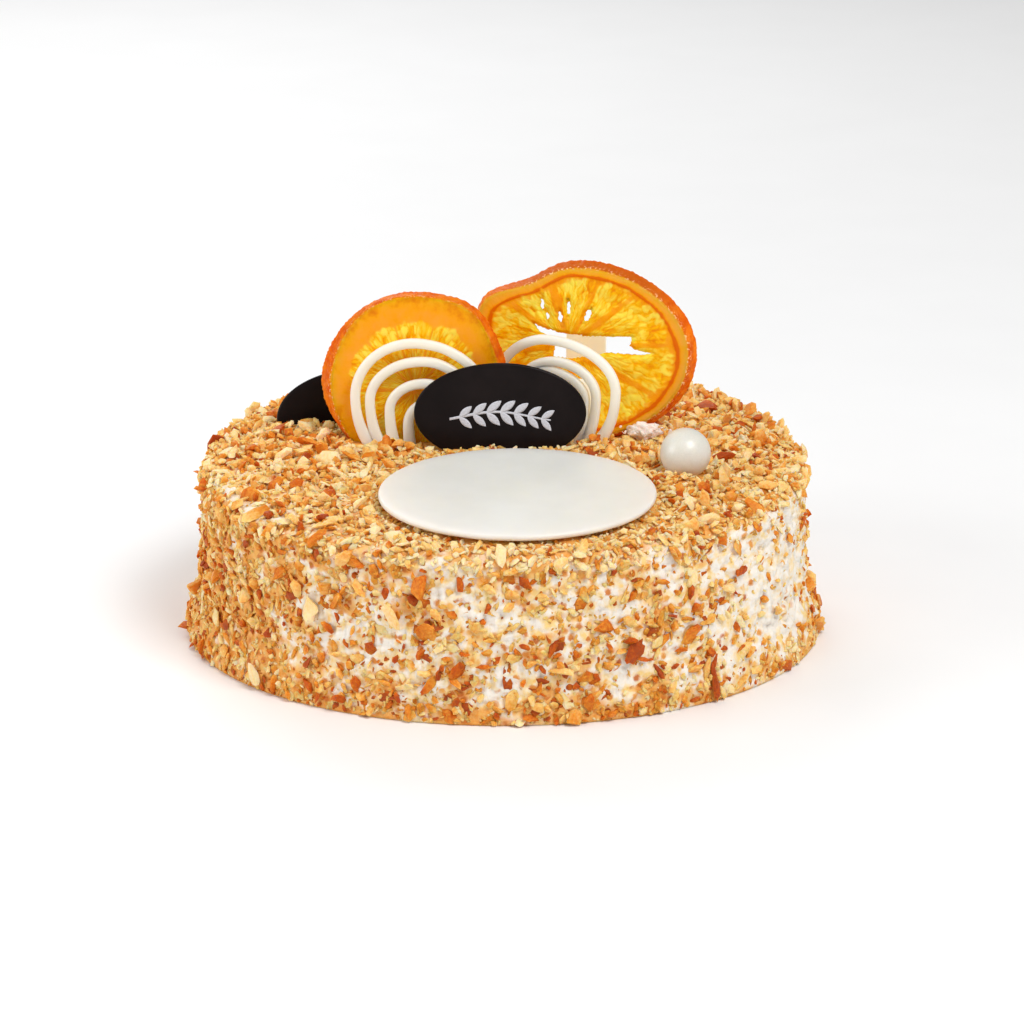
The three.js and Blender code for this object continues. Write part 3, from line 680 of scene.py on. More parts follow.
def ivory_material(name, shade, middle=None, painted_glow=0.0):
    """White chocolate with faint clouds. Round `middle` it is a little warmer, and `painted_glow`
    is the strength of an emission that is painted light, standing in for light coming through a
    thin piece from behind."""
    # The emission is painted light: it makes a thin piece shine as if lit through from behind.
    made = Shader(name, (0.7, 8, 7, 5), Roughness=0.34, Specular_IOR_Level=0.4,
                  Emission_Color=(*shade, 1), Emission_Strength=painted_glow)
    clouds = made.noise(14 * MM, 2, 0.5)
    darker = tuple(np.array(shade) * 0.955)
    body = made.ramp(clouds, ((0.3, darker), (0.65, tuple(shade))))
    if middle:
        away = made.node("ShaderNodeVectorMath", {0: made.place(), 1: middle},
                         operation="DISTANCE").outputs["Value"]
        spot = made.level(away, 0.0, 15 * MM, 0.4, 0.0)
        body = made.blend(spot, body, srgb(244, 236, 212))
    made.set("Base Color", body)
    made.set("Roughness", made.level(made.noise(3 * MM), 0.3, 0.7, 0.28, 0.4))
    made.bump(made.noise(2.5 * MM, 3, 0.5), 0.1 * MM, 0.3)
    return made.material


def dark_material(settings):
    """Dark chocolate with the soft gloss of its mould."""
    made = Shader("dark_chocolate", Roughness=0.34, Specular_IOR_Level=0.1)
    bloom = np.array(settings.dark) * 1.6
    made.clouds(made.noise(9 * MM, 3, 0.5), 0.35, 0.75, bloom, 1 / 1.6)
    made.set("Roughness", made.level(made.noise(2 * MM), 0.3, 0.7, 0.3, 0.42))
    made.bump(made.noise(1.6 * MM, 3, 0.5), 0.05 * MM, 0.3)
    return made.material


def print_material(settings):
    """Pale edible print, a little broken up."""
    made = Shader("silver_print", Roughness=0.5)
    made.clouds(made.noise(0.5 * MM, 2, 0.6), 0.3, 0.6, settings.silver, 0.78)
    return made.material


def pearl_material(settings):
    """Pearly sugar coat: pale, smooth and softly shining."""
    made = Shader("sugar_pearl", (0.3, 4, 3, 2), Roughness=0.4, Coat_Weight=0.35,
                  Coat_Roughness=0.22)
    made.clouds(made.noise(0.5 * MM, 2, 0.6), 0.3, 0.7, settings.pearl, 0.93)
    made.bump(made.noise(2.2 * MM, 3, 0.5), 0.08 * MM, 0.5)
    return made.material


# ---------------------------------------------------------------- the cake's surface
def sloped(body, z, y):
    """Height after the slope: it grows with y in proportion to z."""
    return z + body.slope * y * np.minimum(z / body.height, 1)


def wall_radius(body, angle, z):
    """Radius of the side: it eases in from the side radius to the edge radius, and the foot
    spreads by the skirt times cos^2 of the angle, falling to nothing at the skirt's height."""
    shoulder = body.height - body.edge_drop
    radius = mix(body.wall_radius, body.edge_radius, smooth(body.skirt_height, shoulder, z))
    foot = np.clip(z / body.skirt_height, 0, 1)
    return radius + body.skirt * np.cos(angle) ** 2 * (1 - foot**2)


def bank_height(x, y):
    """Height of the nuts heaped round the toppings: a sum of round bell-shaped banks."""
    total = np.zeros(np.shape(x))
    for middle_x, middle_y, high, wide in BANKS:
        away = ((x / MM - middle_x) ** 2 + (y / MM - middle_y) ** 2) / wide**2
        total += high * MM * np.exp(-away)
    return total


def coat(body, angle, path):
    """Points of the cream and outward directions there. `path` goes from 0 at the foot to 1 at
    the top of the side, to 2 over the quarter ellipse of the edge and to 3 in the middle of the
    top, which is a flat parabola with banks on it. The cream lies the coat's depth inside, and
    soft lumps, sums of waves of two lengths, run over it."""
    shoulder = body.height - body.edge_drop
    side_z = np.clip(path, 0, 1) * shoulder
    turn = np.clip(path - 1, 0, 1) * math.pi / 2
    inward = np.clip(3 - path, 0, 1)
    on_side, on_top = path <= 1, path >= 2
    radius = np.where(
        on_side, wall_radius(body, angle, side_z),
        np.where(on_top, body.top_radius * inward,
                 body.top_radius + (body.edge_radius - body.top_radius) * np.cos(turn)))
    z = np.where(
        on_side, side_z,
        np.where(on_top, body.height + body.dome * (1 - inward**2),
                 shoulder + body.edge_drop * np.sin(turn)))
    x, y = radius * np.cos(angle), radius * np.sin(angle)
    z = sloped(body, z, y) + np.where(on_top, bank_height(x, y), 0)
    out, up = np.cos(turn), np.sin(turn)
    normals = xyz(out * np.cos(angle), out * np.sin(angle), up)
    points = xyz(x, y, z)
    lumps = 0.6 * waves(points, 11 * MM, 1) + 0.4 * waves(points, 3.6 * MM, 2)
    lumps = body.relief * lumps * smooth(0, 0.03, path) * mix(1, 1.3, smooth(1.8, 2.2, path))
    return points + normals * (lumps - body.coat)[..., None], normals


def nearness(angle, degrees, width):
    """1 in the direction `degrees`, falling off as a bell curve `width` degrees wide."""
    off = np.angle(np.exp(1j * (angle - math.radians(degrees))))
    return np.exp(-(np.degrees(off) / width) ** 2)


def stretches(angle, rows):
    """Sum of bell curves round a circle, each with its share, direction and half width."""
    return sum(share * nearness(angle, degrees, width) for share, degrees, width in rows)


def coat_spot(angle, height):
    """A place on the side as a point of a drum one unit in radius, for random patches."""
    return xyz(np.cos(angle), np.sin(angle), 0.55 * height)


def nut_cover(angle, path):
    """Share of the surface that nuts cover: all of the top, and of the side least in two bare
    stretches of the front, most at the left, along the foot and under the top edge."""
    height = np.clip(path, 0, 1)
    bare = stretches(angle, COVER["bare"]) * smooth(0.1, 0.3, height)
    bare += stretches(angle, [COVER["bare_spot"]]) * np.exp(-((height - 0.45) / 0.35) ** 2)
    thick = stretches(angle, COVER["thick"]) + COVER["foot"] * (1 - smooth(0.02, 0.2, height))
    thick += COVER["edge"] * smooth(0.84, 1.0, height)
    spot = coat_spot(angle, height)
    clumps = sum(share * waves(spot, size, seed) for share, size, seed in COVER["clumps"])
    cover = np.clip(COVER["everywhere"] - bare + thick + clumps, 0.08, 1)
    thin = stretches(angle, COVER["thin_shoulder"])
    shoulder = 1 - thin * np.exp(-((path - 1.7) / 0.4) ** 2)
    shoulder = np.clip(shoulder + 0.5 * clumps * smooth(2.3, 1.6, path), 0.3, 1)
    return np.where(path > 1, mix(cover, shoulder, smooth(1.0, 1.6, path)), cover)


# ---------------------------------------------------------------- operators
class CAKE_OT_cream(Operator):
    """Make the cream cake that the nuts stick to, and the dab of cream at the orange slice"""

    bl_idname = "cake.cream"
    bl_label = "Cream cake"

    columns = 640
    side_rows = 66
    edge_rows = 12
    top_rows = 34

    def body(self, settings):
        """Rings of points up the side and over the top, with fine upright drags where the cream
        is bare."""
        path = np.concatenate([
            np.linspace(0, 1, self.side_rows), np.linspace(1, 2, self.edge_rows + 1)[1:],
            np.linspace(2, 2.98, self.top_rows + 1)[1:],
        ])
        angle, path = np.meshgrid(even_turns(self.columns), path)
        points, normals = coat(settings, angle, path)
        cover = nut_cover(angle, path)
        drags = waves(points * (1, 1, 0.35), 2.1 * MM, 3) + 0.6 * waves(points, 1.5 * MM, 4)
        height = 0.75 * settings.relief * drags * (1.1 - cover)
        points = points + normals * (height * smooth(0, 0.03, path))[..., None]
        points[0, :, 2] = 0
        base = [points[0] * (inward, inward, 0) for inward in (0.2, 0.6, 0.9)]
        crust = np.concatenate([np.zeros((len(base), self.columns)), cover]).ravel()
        return np.concatenate([np.stack(base), points]), np.append(crust, (0, 1))

    def dab(self):
        """A lumpy ellipsoid: its radius is knocked by waves of two lengths."""
        size = ball(64, 32, 1.5) * DAB_SIZE
        lumps = 1 + 0.12 * waves(size, 3.2, 5) + 0.1 * waves(size, 1.5, 6)
        return (size * lumps[..., None] + DAB_AT) * MM

    def crumbs(self, number, random):
        """Crumbs of 0.9 to 2.2 mm that lie on the dab and round it."""
        corners, faces = icosahedron()
        middle = random.normal(size=(number, 3)) * np.array(DAB_SIZE) * (0.62, 0.5, 0.3)
        bits = chopped(corners, random.uniform(0.9, 2.2, number) * MM, random, 2)
        bits += (middle + DAB_AT)[:, None] * MM
        return copies(bits, faces)

    def execute(self, context):
        settings = context.scene.cake_cream
        rows, crust = self.body(settings)
        piece("cream_cake", *lofted(rows), cream_material(settings), "cream", ["cake"],
              {"crust": crust})
        dab = dab_material(settings)
        piece("cream_dab", *lofted(self.dab()), dab, "cream", ["cake"])
        crumbs = self.crumbs(70, np.random.default_rng(12))
        piece("cream_crumbs", *crumbs, dab, "cream", ["cake"], flat=True)
        return {"FINISHED"}


def icosahedron():
    """The 12 corners of a regular solid of 20 triangles, one unit out, and its faces."""
    golden = (1 + math.sqrt(5)) / 2
    flat = np.array([(0, a, b * golden) for a in (-1, 1) for b in (-1, 1)], float)
    points = np.concatenate([flat, flat[:, [2, 0, 1]], flat[:, [1, 2, 0]]])
    gaps = np.linalg.norm(points[:, None] - points[None], axis=-1)
    near = np.abs(gaps - 2) < 0.01
    faces = np.argwhere(near[:, :, None] & near[None] & near[:, None, :])
    faces = faces[(faces[:, 0] < faces[:, 1]) & (faces[:, 1] < faces[:, 2])]
    points /= np.linalg.norm(points, axis=1, keepdims=True)
    a, b, c = (points[faces[:, corner]] for corner in range(3))
    inside = np.einsum("ij,ij->i", np.cross(b - a, c - a), a + b + c) < 0
    faces[inside] = faces[inside][:, ::-1]
    return points, faces


def divided(points, faces):
    """Each triangle of a ball cut in four, with the new corners pushed out to the ball."""
    edges = np.sort(np.concatenate([faces[:, [0, 1]], faces[:, [1, 2]], faces[:, [2, 0]]]), axis=1)
    unique, place = np.unique(edges, axis=0, return_inverse=True)
    middles = points[unique].mean(axis=1)
    middles /= np.linalg.norm(middles, axis=1, keepdims=True)
    ab, bc, ca = place.reshape(3, -1) + len(points)
    a, b, c = faces.T
    quarters = [(a, ab, ca), (b, bc, ab), (c, ca, bc), (ab, bc, ca)]
    return np.concatenate([points, middles]), np.concatenate(
        [np.stack(corners, axis=-1) for corners in quarters])


def octahedron():
    """The 6 corners and 8 faces of a regular solid."""
    points = np.concatenate([np.eye(3), -np.eye(3)])
    faces = np.array([(0, 1, 2), (1, 3, 2), (3, 4, 2), (4, 0, 2),
                      (1, 0, 5), (3, 1, 5), (4, 3, 5), (0, 4, 5)])
    return points, faces


def random_turns(random, number):
    """Rotation matrices spread evenly over all directions, from random unit quaternions."""
    w, x, y, z = random.normal(size=(4, number))
    size = np.sqrt(w * w + x * x + y * y + z * z)
    w, x, y, z = w / size, x / size, y / size, z / size
    rows = [
        [1 - 2 * (y * y + z * z), 2 * (x * y - w * z), 2 * (x * z + w * y)],
        [2 * (x * y + w * z), 1 - 2 * (x * x + z * z), 2 * (y * z - w * x)],
        [2 * (x * z - w * y), 2 * (y * z + w * x), 1 - 2 * (x * x + y * y)],
    ]
    return np.array(rows).transpose(2, 0, 1)


def chopped(template, sizes, random, cuts):
    """Points of chopped bits, an array of bits x corners x 3. Each is a knocked ball cut flat
    along a few planes: what stands beyond a plane is pushed back on to it. Then it is drawn
    out, flattened and turned at random."""
    bits = len(sizes)
    points = template[None] * (1 + 0.2 * random.uniform(-1, 1, (bits, len(template), 1)))
    for _ in range(cuts):
        facing = random.normal(size=(bits, 1, 3))
        facing /= np.linalg.norm(facing, axis=-1, keepdims=True)
        beyond = np.einsum("bkc,blc->bk", points, facing) - random.uniform(0.3, 0.7, (bits, 1))
        points = points - np.maximum(beyond, 0)[..., None] * facing
    draw = np.stack([random.uniform(1.15, 1.8, bits), random.uniform(0.75, 1.1, bits),
                     random.uniform(0.35, 0.75, bits)], axis=-1)
    points = points * draw[:, None] * (sizes / 2)[:, None, None]
    return np.einsum("bij,bkj->bki", random_turns(random, bits), points)


def topping_gaps(points):
    """How far points are from the toppings: for each, the larger of the distance outside its
    outline and the distance off its plane; of all of them, the least."""
    gaps = []
    for spec in SLICES.values():
        own = unplaced(points, spec)
        turn = np.arctan2(own[:, 2], own[:, 0])
        radius = spec["radius"] * slice_reach(spec, turn)
        away = np.hypot(own[:, 0], own[:, 2])
        middle = slice_bend(spec, turn, np.minimum(away / radius, 1))
        gaps.append(np.maximum(np.abs(own[:, 1] - middle) - SLICE_ROOM * MM, away - radius))
    plaques = [(DARK_PLAQUE, place, 1, 2) for place in DARK_PLACES.values()]
    plaques.append((WHITE_PLAQUE, WHITE_PLAQUE, 2, 1))
    for size, place, normal, along in plaques:
        own = unplaced(points, place) / MM
        ratio = np.hypot(own[:, 0] / size["wide"], own[:, along] / size["tall"])
        outside = (ratio - 1) * size["tall"]
        off = np.abs(own[:, normal]) - size["thick"] / 2
        gaps.append(np.maximum(off, outside) * MM)
    for tile in TILES.values():
        own = np.abs(unplaced(points, tile)) / MM
        gaps.append(np.maximum(own[:, 0] - TILE_WIDE / 2, own[:, 1] - TILE_THICK / 2) * MM)
    for ornament in ORNAMENTS.values():
        own = unplaced(points, ornament) / MM
        across = np.array(ornament["arches"])[..., 0]
        middle, half = (across.max() + across.min()) / 2, (across.max() - across.min()) / 2
        across, off = np.abs(own[:, 0] - middle) - half, np.abs(own[:, 1]) - ARCH_ROOM
        gaps.append(np.maximum(across, off) * MM)
    gaps.append(np.linalg.norm(points - np.array(PEARL_AT) * MM, axis=-1) - PEARL_ROOM * MM)
    return np.min(gaps, axis=0)


class CAKE_OT_nuts(Operator):
    """Scatter the chopped nuts over the top and the side"""

    bl_idname = "cake.nuts"
    bl_label = "Chopped nuts"

    seed = 2024
    small_ones = 1.4  # The power that makes small nuts more likely than large ones
    sparse = 1.3  # The power that thins out nuts where few cover the cream
    roasts = (1.7, 2.8)  # The beta law that roasts are drawn from
    skinned = 2.2 * MM  # Size from which a few nuts keep their dark skin
    skinned_share = 0.04
    depth_top = (-0.1, 0.4)  # How far nuts stand out, as a share of their size
    depth_side = (-0.26, 0.16)
    notable_depth = 0.12
    notable_size = 1.2  # How much larger the notable nuts are before they are cut

    def top_places(self, body, number, random):
        """Even places on the top: a sunflower spiral, each knocked about a little."""
        turn = np.arange(number) * math.pi * (3 - math.sqrt(5))
        out = np.sqrt((np.arange(number) + 0.5) / number)
        gap = 1.1 / math.sqrt(number)
        turn += random.uniform(-1, 1, number) * gap / np.maximum(out, gap)
        path = 3 - np.clip(out + random.uniform(-1, 1, number) * gap, 0, 1)
        return turn, path

    def side_places(self, body, number, random):
        """Even places on the side and the edge, on the sequence of the plastic number."""
        plastic = 1.3247179572
        order = np.arange(number)
        turn = (order / plastic % 1) * TAU + random.normal(0, 0.01, number)
        along = np.clip(order / plastic**2 % 1 + random.normal(0, 0.01, number), 0, 1)
        shoulder = body.height - body.edge_drop
        edge = math.pi / 2 * (body.edge_drop + body.edge_radius - body.top_radius) / 2
        walked = along * (shoulder + edge)
        path = np.where(walked < shoulder, walked / shoulder, 1 + (walked - shoulder) / edge)
        return turn, path

    def bits(self, name, body, places, template, sizes, roast, depth, cuts, random, material):
        """Chopped nuts of one kind, pressed flat to the cream, more on the side. Each lies
        `depth` of its size above the cream, and those that would touch a topping are left out.
        One end of each is roasted more."""
        points, normals = coat(body, *places)
        centres = points + normals * (sizes * depth)[:, None]
        corners, faces = template
        nuts = chopped(corners, sizes, random, cuts)
        pressed = random.uniform(0, 0.3, len(sizes)) + 0.2 * (places[1] < 1)
        upward = (nuts * normals[:, None]).sum(axis=-1, keepdims=True)
        nuts -= pressed[:, None, None] * upward * normals[:, None]
        reach = np.linalg.norm(nuts, axis=-1).max(axis=1)
        clear = topping_gaps(centres) > reach
        nuts, centres, sizes, roast = nuts[clear], centres[clear], sizes[clear], roast[clear]
        lean = random.normal(size=(len(nuts), 1, 3))
        lean /= np.linalg.norm(lean, axis=-1, keepdims=True)
        toasted = roast[:, None] + 0.3 * (nuts * lean).sum(axis=-1) / sizes[:, None]
        nuts = nuts + centres[:, None]
        nuts[..., 2] += np.maximum(0.1 * MM - nuts[..., 2].min(axis=1), 0)[:, None]
        piece(name, *copies(nuts, faces), material, "nut_crust", ["cake"],
              {"roast": toasted.ravel()}, flat=True)

    def scatter(self, name, body, places, template, sizes, share, cuts, random, material):
        """Nuts of one kind at those even places that the coat covers, `share` of them. `share`
        may differ from place to place. Those on the side are roasted more, in clumps, and those
        at the front of the top and at the right and left of the side are paler."""
        angle, path = places
        number, on_top = len(sizes), path > 1
        kept = random.random(number) < nut_cover(angle, path) ** self.sparse * share
        clumps = ROAST["clumps"] * waves(coat_spot(angle, np.clip(path, 0, 1)), 0.11, 10)
        tone = np.where(on_top, ROAST["top"] - stretches(angle, ROAST["paler_top"]),
                        ROAST["side"] + clumps - stretches(angle, ROAST["paler_side"]))
        roast = random.beta(*self.roasts, number) + tone
        dark = (random.random(number) < self.skinned_share) & (sizes > self.skinned)
        roast = np.where(dark, random.uniform(0.8, 1.05, number), np.clip(roast, 0, 1))
        depth = np.where(on_top, random.uniform(*self.depth_top, number),
                         random.uniform(*self.depth_side, number))
        self.bits(name, body, (angle[kept], path[kept]), template, sizes[kept], roast[kept],
                  depth[kept], cuts, random, material)

    def execute(self, context):
        nuts, body = context.scene.cake_nuts, context.scene.cake_cream
        material = nut_material(nuts)
        random = np.random.default_rng(self.seed)
        small, middling = icosahedron(), divided(*octahedron())
        kinds = (
            ("large", middling, nuts.chopped, nuts.large, nuts.large_count, 0.8, 4),
            ("chopped", small, nuts.fine, nuts.chopped, nuts.chopped_count, 1.0, 3),
            ("fine", small, nuts.dust, nuts.fine, nuts.fine_count, 1.0, 2),
            ("dust", octahedron(), nuts.least, nuts.dust, nuts.dust_count, 1.0, 0),
        )
        for kind, template, low, high, number, share, cuts in kinds:
            for where, places in (("top", self.top_places), ("side", self.side_places)):
                sizes = low + (high - low) * random.random(number) ** self.small_ones
                spots = places(body, number, random)
                kept = share
                if low >= nuts.fine:
                    side = 1 - stretches(spots[0], FEWER_LARGER["side"])
                    kept = share * np.where(spots[1] > 1, FEWER_LARGER["top"], side)
                self.scatter(f"nuts_{kind}_{where}", body, spots, template, sizes, kept, cuts,
                             random, material)
        turn, path, sizes, roast = np.array(NOTABLE_NUTS).T
        self.bits("nuts_notable", body, (np.radians(turn), path), divided(*middling),
                  sizes * self.notable_size * MM, roast, np.full(len(sizes), self.notable_depth),
                  6, random, material)
        return {"FINISHED"}


def slice_reach(spec, turn):
    """How far a slice's outline reaches, as a share of its radius: an ellipse with
    bell-shaped bulges."""
    reach = 1 / np.hypot(np.cos(turn) / spec["wide"], np.sin(turn) / spec["tall"])
    return reach + stretches(turn, spec["bulges"]) * MM / spec["radius"]


def slice_bend(spec, turn, part):
    """How far back a slice's middle plane lies, `part` of the way out: its left and right edges
    bend back with the power 3.5 of the distance, and three waves run round it."""
    back = spec["bend"] * np.abs(np.cos(turn) * part) ** 3.5
    return back + spec["wave"] * part**2 * np.cos(3 * turn + 0.8)


def slice_bevel(spec, turn):
    """How much smaller a slice's front face is than its back, because the skin slants: it goes
    from the value at the right or left to the one above and below with cos^4 of the turn."""
    right, left, other = spec["bevel"]
    sideways = np.where(np.cos(turn) > 0, right, left)
    return mix(other, sideways, np.cos(turn) ** 4) * MM


def rind_tone(spec, turn, part):
    """How pale the candied ring is, from 0 in its darkest line to 1 in the pale layer under the
    peel: that layer and a dark line inside it show where the slice has `albedo`."""
    around = xyz(np.cos(turn), np.sin(turn))
    start = spec["flesh_share"] + 0.007 * waves(around, 0.5, spec["seed"] + 70)
    line = np.exp(-(((part - start - 0.035) / 0.016) ** 2))
    layered = mix(0.55, 0.85, smooth(start + 0.05, start + 0.08, part)) - 0.8 * line
    plain = mix(0.72, 0.36, smooth(start + 0.04, 0.97, part))
    return mix(plain, layered, spec["albedo"])


def polygon_distance(x, z, corners):
    """Distance to a closed outline, negative inside it."""
    nearest = np.full(x.shape, 1.0)
    inside = np.zeros(x.shape, bool)
    for (ax, az), (bx, bz) in zip(corners, np.roll(corners, -1, axis=0)):
        ex, ez = bx - ax, bz - az
        along = np.clip(((x - ax) * ex + (z - az) * ez) / (ex * ex + ez * ez), 0, 1)
        nearest = np.minimum(nearest, np.hypot(x - ax - along * ex, z - az - along * ez))
        crosses = ((az > z) != (bz > z)) & (x < ax + (z - az) / (bz - az + 1e-12) * ex)
        inside ^= crosses
    return np.where(inside, -nearest, nearest)


def hole_distance(x, z):
    """Distance to the nearest opening of the right slice, negative inside one, with a frayed
    edge."""
    gap = polygon_distance(x, z, TORN_HOLE)
    for middle_x, middle_z, wide, long, tilt in SLITS:
        a = math.radians(tilt)
        right, up = x - middle_x * MM, z - middle_z * MM
        across = (right * math.cos(a) + up * math.sin(a)) / (wide * MM / 2)
        along = (up * math.cos(a) - right * math.sin(a)) / (long * MM / 2)
        gap = np.minimum(gap, (np.hypot(across, along) - 1) * wide * MM / 2)
    return gap + 0.16 * MM * waves(xyz(x, z), 1.6 * MM, 41)


def thick_sheet(front, back, faces):
    """Closed skin over a front and a back sheet of matching points, walled along every edge
    that only one face has."""
    number = len(front)
    edges = []
    for group in faces:
        for corner in range(group.shape[1]):
            edges.append(np.stack([group[:, corner], group[:, (corner + 1) % group.shape[1]]], 1))
    edges = np.concatenate(edges)
    forward = edges[:, 0] * number + edges[:, 1]
    backward = edges[:, 1] * number + edges[:, 0]
    rim = edges[~np.isin(forward, backward)]
    walls = np.stack([rim[:, 1], rim[:, 0], rim[:, 0] + number, rim[:, 1] + number], axis=1)
    everything = []
    for group in faces:
        everything += group.tolist() + (group[:, ::-1] + number).tolist()
    return np.concatenate([front, back]), everything + walls.tolist()


class CAKE_OT_slices(Operator):
    """Make the two dried orange slices, flesh and peel"""

    bl_idname = "cake.slices"
    bl_label = "Orange slices"

    columns = 560
    rows = 84
    peel_columns = 32
    lap = 0.25 * MM  # How far the cut face stops short of the skin's outline
    ring_rise = 0.4 * MM  # How far the candied ring stands out past the peel
    ring_drop = 0.8 * MM  # How far it drops again where it meets the skin
    dark_line = 0.35 * MM  # Height of the ring's dark line
    wall_height = 0.25 * MM
    buckle = 0.25 * MM  # How unevenly the flesh dried
    frayed = 1.2 * MM  # Width of the thin rim round an opening
    peel_over = 0.12 * MM  # How much thicker the peel's mesh is than its setting

    def pulp(self, spec, settings, x, z, part):
        """What the cut face shows at x, z: how much of it is juice sacs, their height, how
        light they are drawn, and the height of the walls between the wedges. Sacs are cells drawn
        out along rays from the flesh's middle, and the walls are smooth stripes on unevenly
        spread rays that thin outwards. How light the sacs are drawn is partly their own tone and
        clearness, and partly painted shade in the creases between them and painted glints near
        their outer ends."""
        flat = xyz(x, z)
        middle_x, middle_z = np.array(spec["flesh_middle"]) * MM
        away = np.hypot(x - middle_x, z - middle_z)
        turn = np.arctan2(z - middle_z, x - middle_x)
        uneven = turn + 0.13 * np.sin(2 * turn + spec["seed"]) + 0.06 * np.sin(5 * turn + 1)
        wedge = np.abs((uneven / TAU * settings.wedges) % 1 - 0.5) * 2
        half_wedge = np.maximum(away * math.pi / settings.wedges, 0.3 * MM)
        half_wall = mix(*spec["walls"], np.clip(part, 0, 1)) / 2 * MM
        wall = smooth(1 - 1.5 * half_wall / half_wedge, 1 - 0.5 * half_wall / half_wedge, wedge)
        share = spec["flesh_share"]
        edge = share * (1 - 0.09 * wedge**4) + 0.02 * waves(flat, 3 * MM, spec["seed"] + 20)
        inside = 1 - smooth(edge - 0.02, edge + 0.02, part)
        around = int(TAU * 0.5 * spec["radius"] / settings.sac_width)
        sway = 0.5 * waves(flat, 6 * MM, spec["seed"] + 30)
        across = (turn / TAU + 0.5) * around + sway
        along = away / settings.sac_length + 0.12 * waves(flat, 4 * MM, spec["seed"] + 31)
        nearest, gap, own = cells(across, along, around, spec["seed"])
        sac = smooth(0.0, 0.4, gap) * np.sqrt(np.clip(1.1 - nearest**2, 0, 1))
        sac = sac * (1 - 0.85 * wall) * smooth(0.0, 3 * MM, away)
        # Sacs towards the outer end are drawn brighter: partly clearer sacs and partly painted
        # glints.
        clear = smooth(0.4, 0.95, part / share) * (own > 0.55)
        patch = 0.16 * waves(flat, 9 * MM, spec["seed"] + 40)
        # The sac term makes the creases between the sacs darker, which is painted shade. The sacs'
        # own tone, the darker walls and the patches are the flesh's own colour.
        lit = 0.2 + 0.22 * sac + 0.26 * own * (1 - wall) + 0.24 * clear - 0.16 * wall + patch
        return inside, sac * inside, lit, wall * inside

    def flesh(self, name, spec, settings, material):
        """The cut face: a polar grid with the flesh thin, the candied ring thicker, and the
        openings torn through it. Grid points beside an opening are moved to its edge. The
        face drops a little where it meets the skin."""
        part = np.linspace(0, 1, self.rows + 1)[1:] ** 0.9
        turn, part = np.meshgrid(even_turns(self.columns), part)
        part = part * (1 - (slice_bevel(spec, turn) + self.lap) / spec["radius"])
        radius = part * spec["radius"] * slice_reach(spec, turn)
        x, z = (radius * np.cos(turn)).ravel(), (radius * np.sin(turn)).ravel()
        x, z = np.append(x, 0.0), np.append(z, 0.0)
        quads = ring_faces(self.rows, self.columns)[:, [0, 3, 2, 1]]
        column = np.arange(self.columns)
        fan = np.stack([np.full(self.columns, len(x) - 1), column,
                        (column + 1) % self.columns], axis=1)
        faces = [quads, fan]
        if spec["holes"]:
            gap = hole_distance(x, z)
            faces = [group[gap[group].mean(axis=1) > 0] for group in faces]
            step = 0.05 * MM
            slope_x = (hole_distance(x + step, z) - gap) / step
            slope_z = (hole_distance(x, z + step) - gap) / step
            steep = np.maximum(np.hypot(slope_x, slope_z), 0.3)
            beside = np.abs(gap) < 0.3 * MM
            x = np.where(beside, x - gap * slope_x / steep**2, x)
            z = np.where(beside, z - gap * slope_z / steep**2, z)
        flat = xyz(x, z)
        turn = np.arctan2(z, x)
        part = np.hypot(x, z) / (spec["radius"] * slice_reach(spec, turn))
        inside, sac, lit, wall = self.pulp(spec, settings, x, z, part)
        rind = rind_tone(spec, turn, part)
        room = (1 - part) * spec["radius"] * slice_reach(spec, turn) - slice_bevel(spec, turn)
        raised = settings.peel_half + self.ring_rise
        thick = mix(spec["flesh_half"], raised, smooth(0.6, 0.9, part))
        thick -= self.ring_drop * (1 - smooth(0.1 * MM, 0.7 * MM, room))
        uneven = self.buckle * waves(flat, 8 * MM, spec["seed"] + 50)
        uneven *= 1 - smooth(0.65, 0.82, part)
        relief = settings.sac_relief * (sac - 0.5 * inside) + self.wall_height * wall
        relief += self.dark_line * spec["albedo"] * np.clip(0.5 - rind, 0, 1)
        if spec["holes"]:
            thin = smooth(0, self.frayed, hole_distance(x, z))
            thick, relief = thick * mix(0.4, 1, thin), relief * thin
        middle = slice_bend(spec, turn, part)
        front = placed(xyz(x, middle - thick - relief - uneven, z), spec)
        back = placed(xyz(x, middle + thick + relief - uneven, z), spec)
        from_middle = flat - np.array(spec["flesh_middle"]) * MM
        away = np.linalg.norm(from_middle, axis=1, keepdims=True)
        rays = np.concatenate([from_middle / np.maximum(away, 1e-6) * 20, away / (4 * MM)], axis=1)
        used = np.unique(np.concatenate([group.ravel() for group in faces]))
        fresh = np.full(len(x), -1)
        fresh[used] = np.arange(len(used))
        points, everything = thick_sheet(front[used], back[used], [fresh[g] for g in faces])
        values = {"pulp": inside * (1 - 0.7 * wall), "lit": lit, "rind": rind, "rays": rays}
        values = {key: np.concatenate([n[used], n[used]]) for key, n in values.items()}
        piece(f"orange_flesh_{name}", points, everything, material, "orange_flesh",
              [f"orange_slice_{name}"], values)

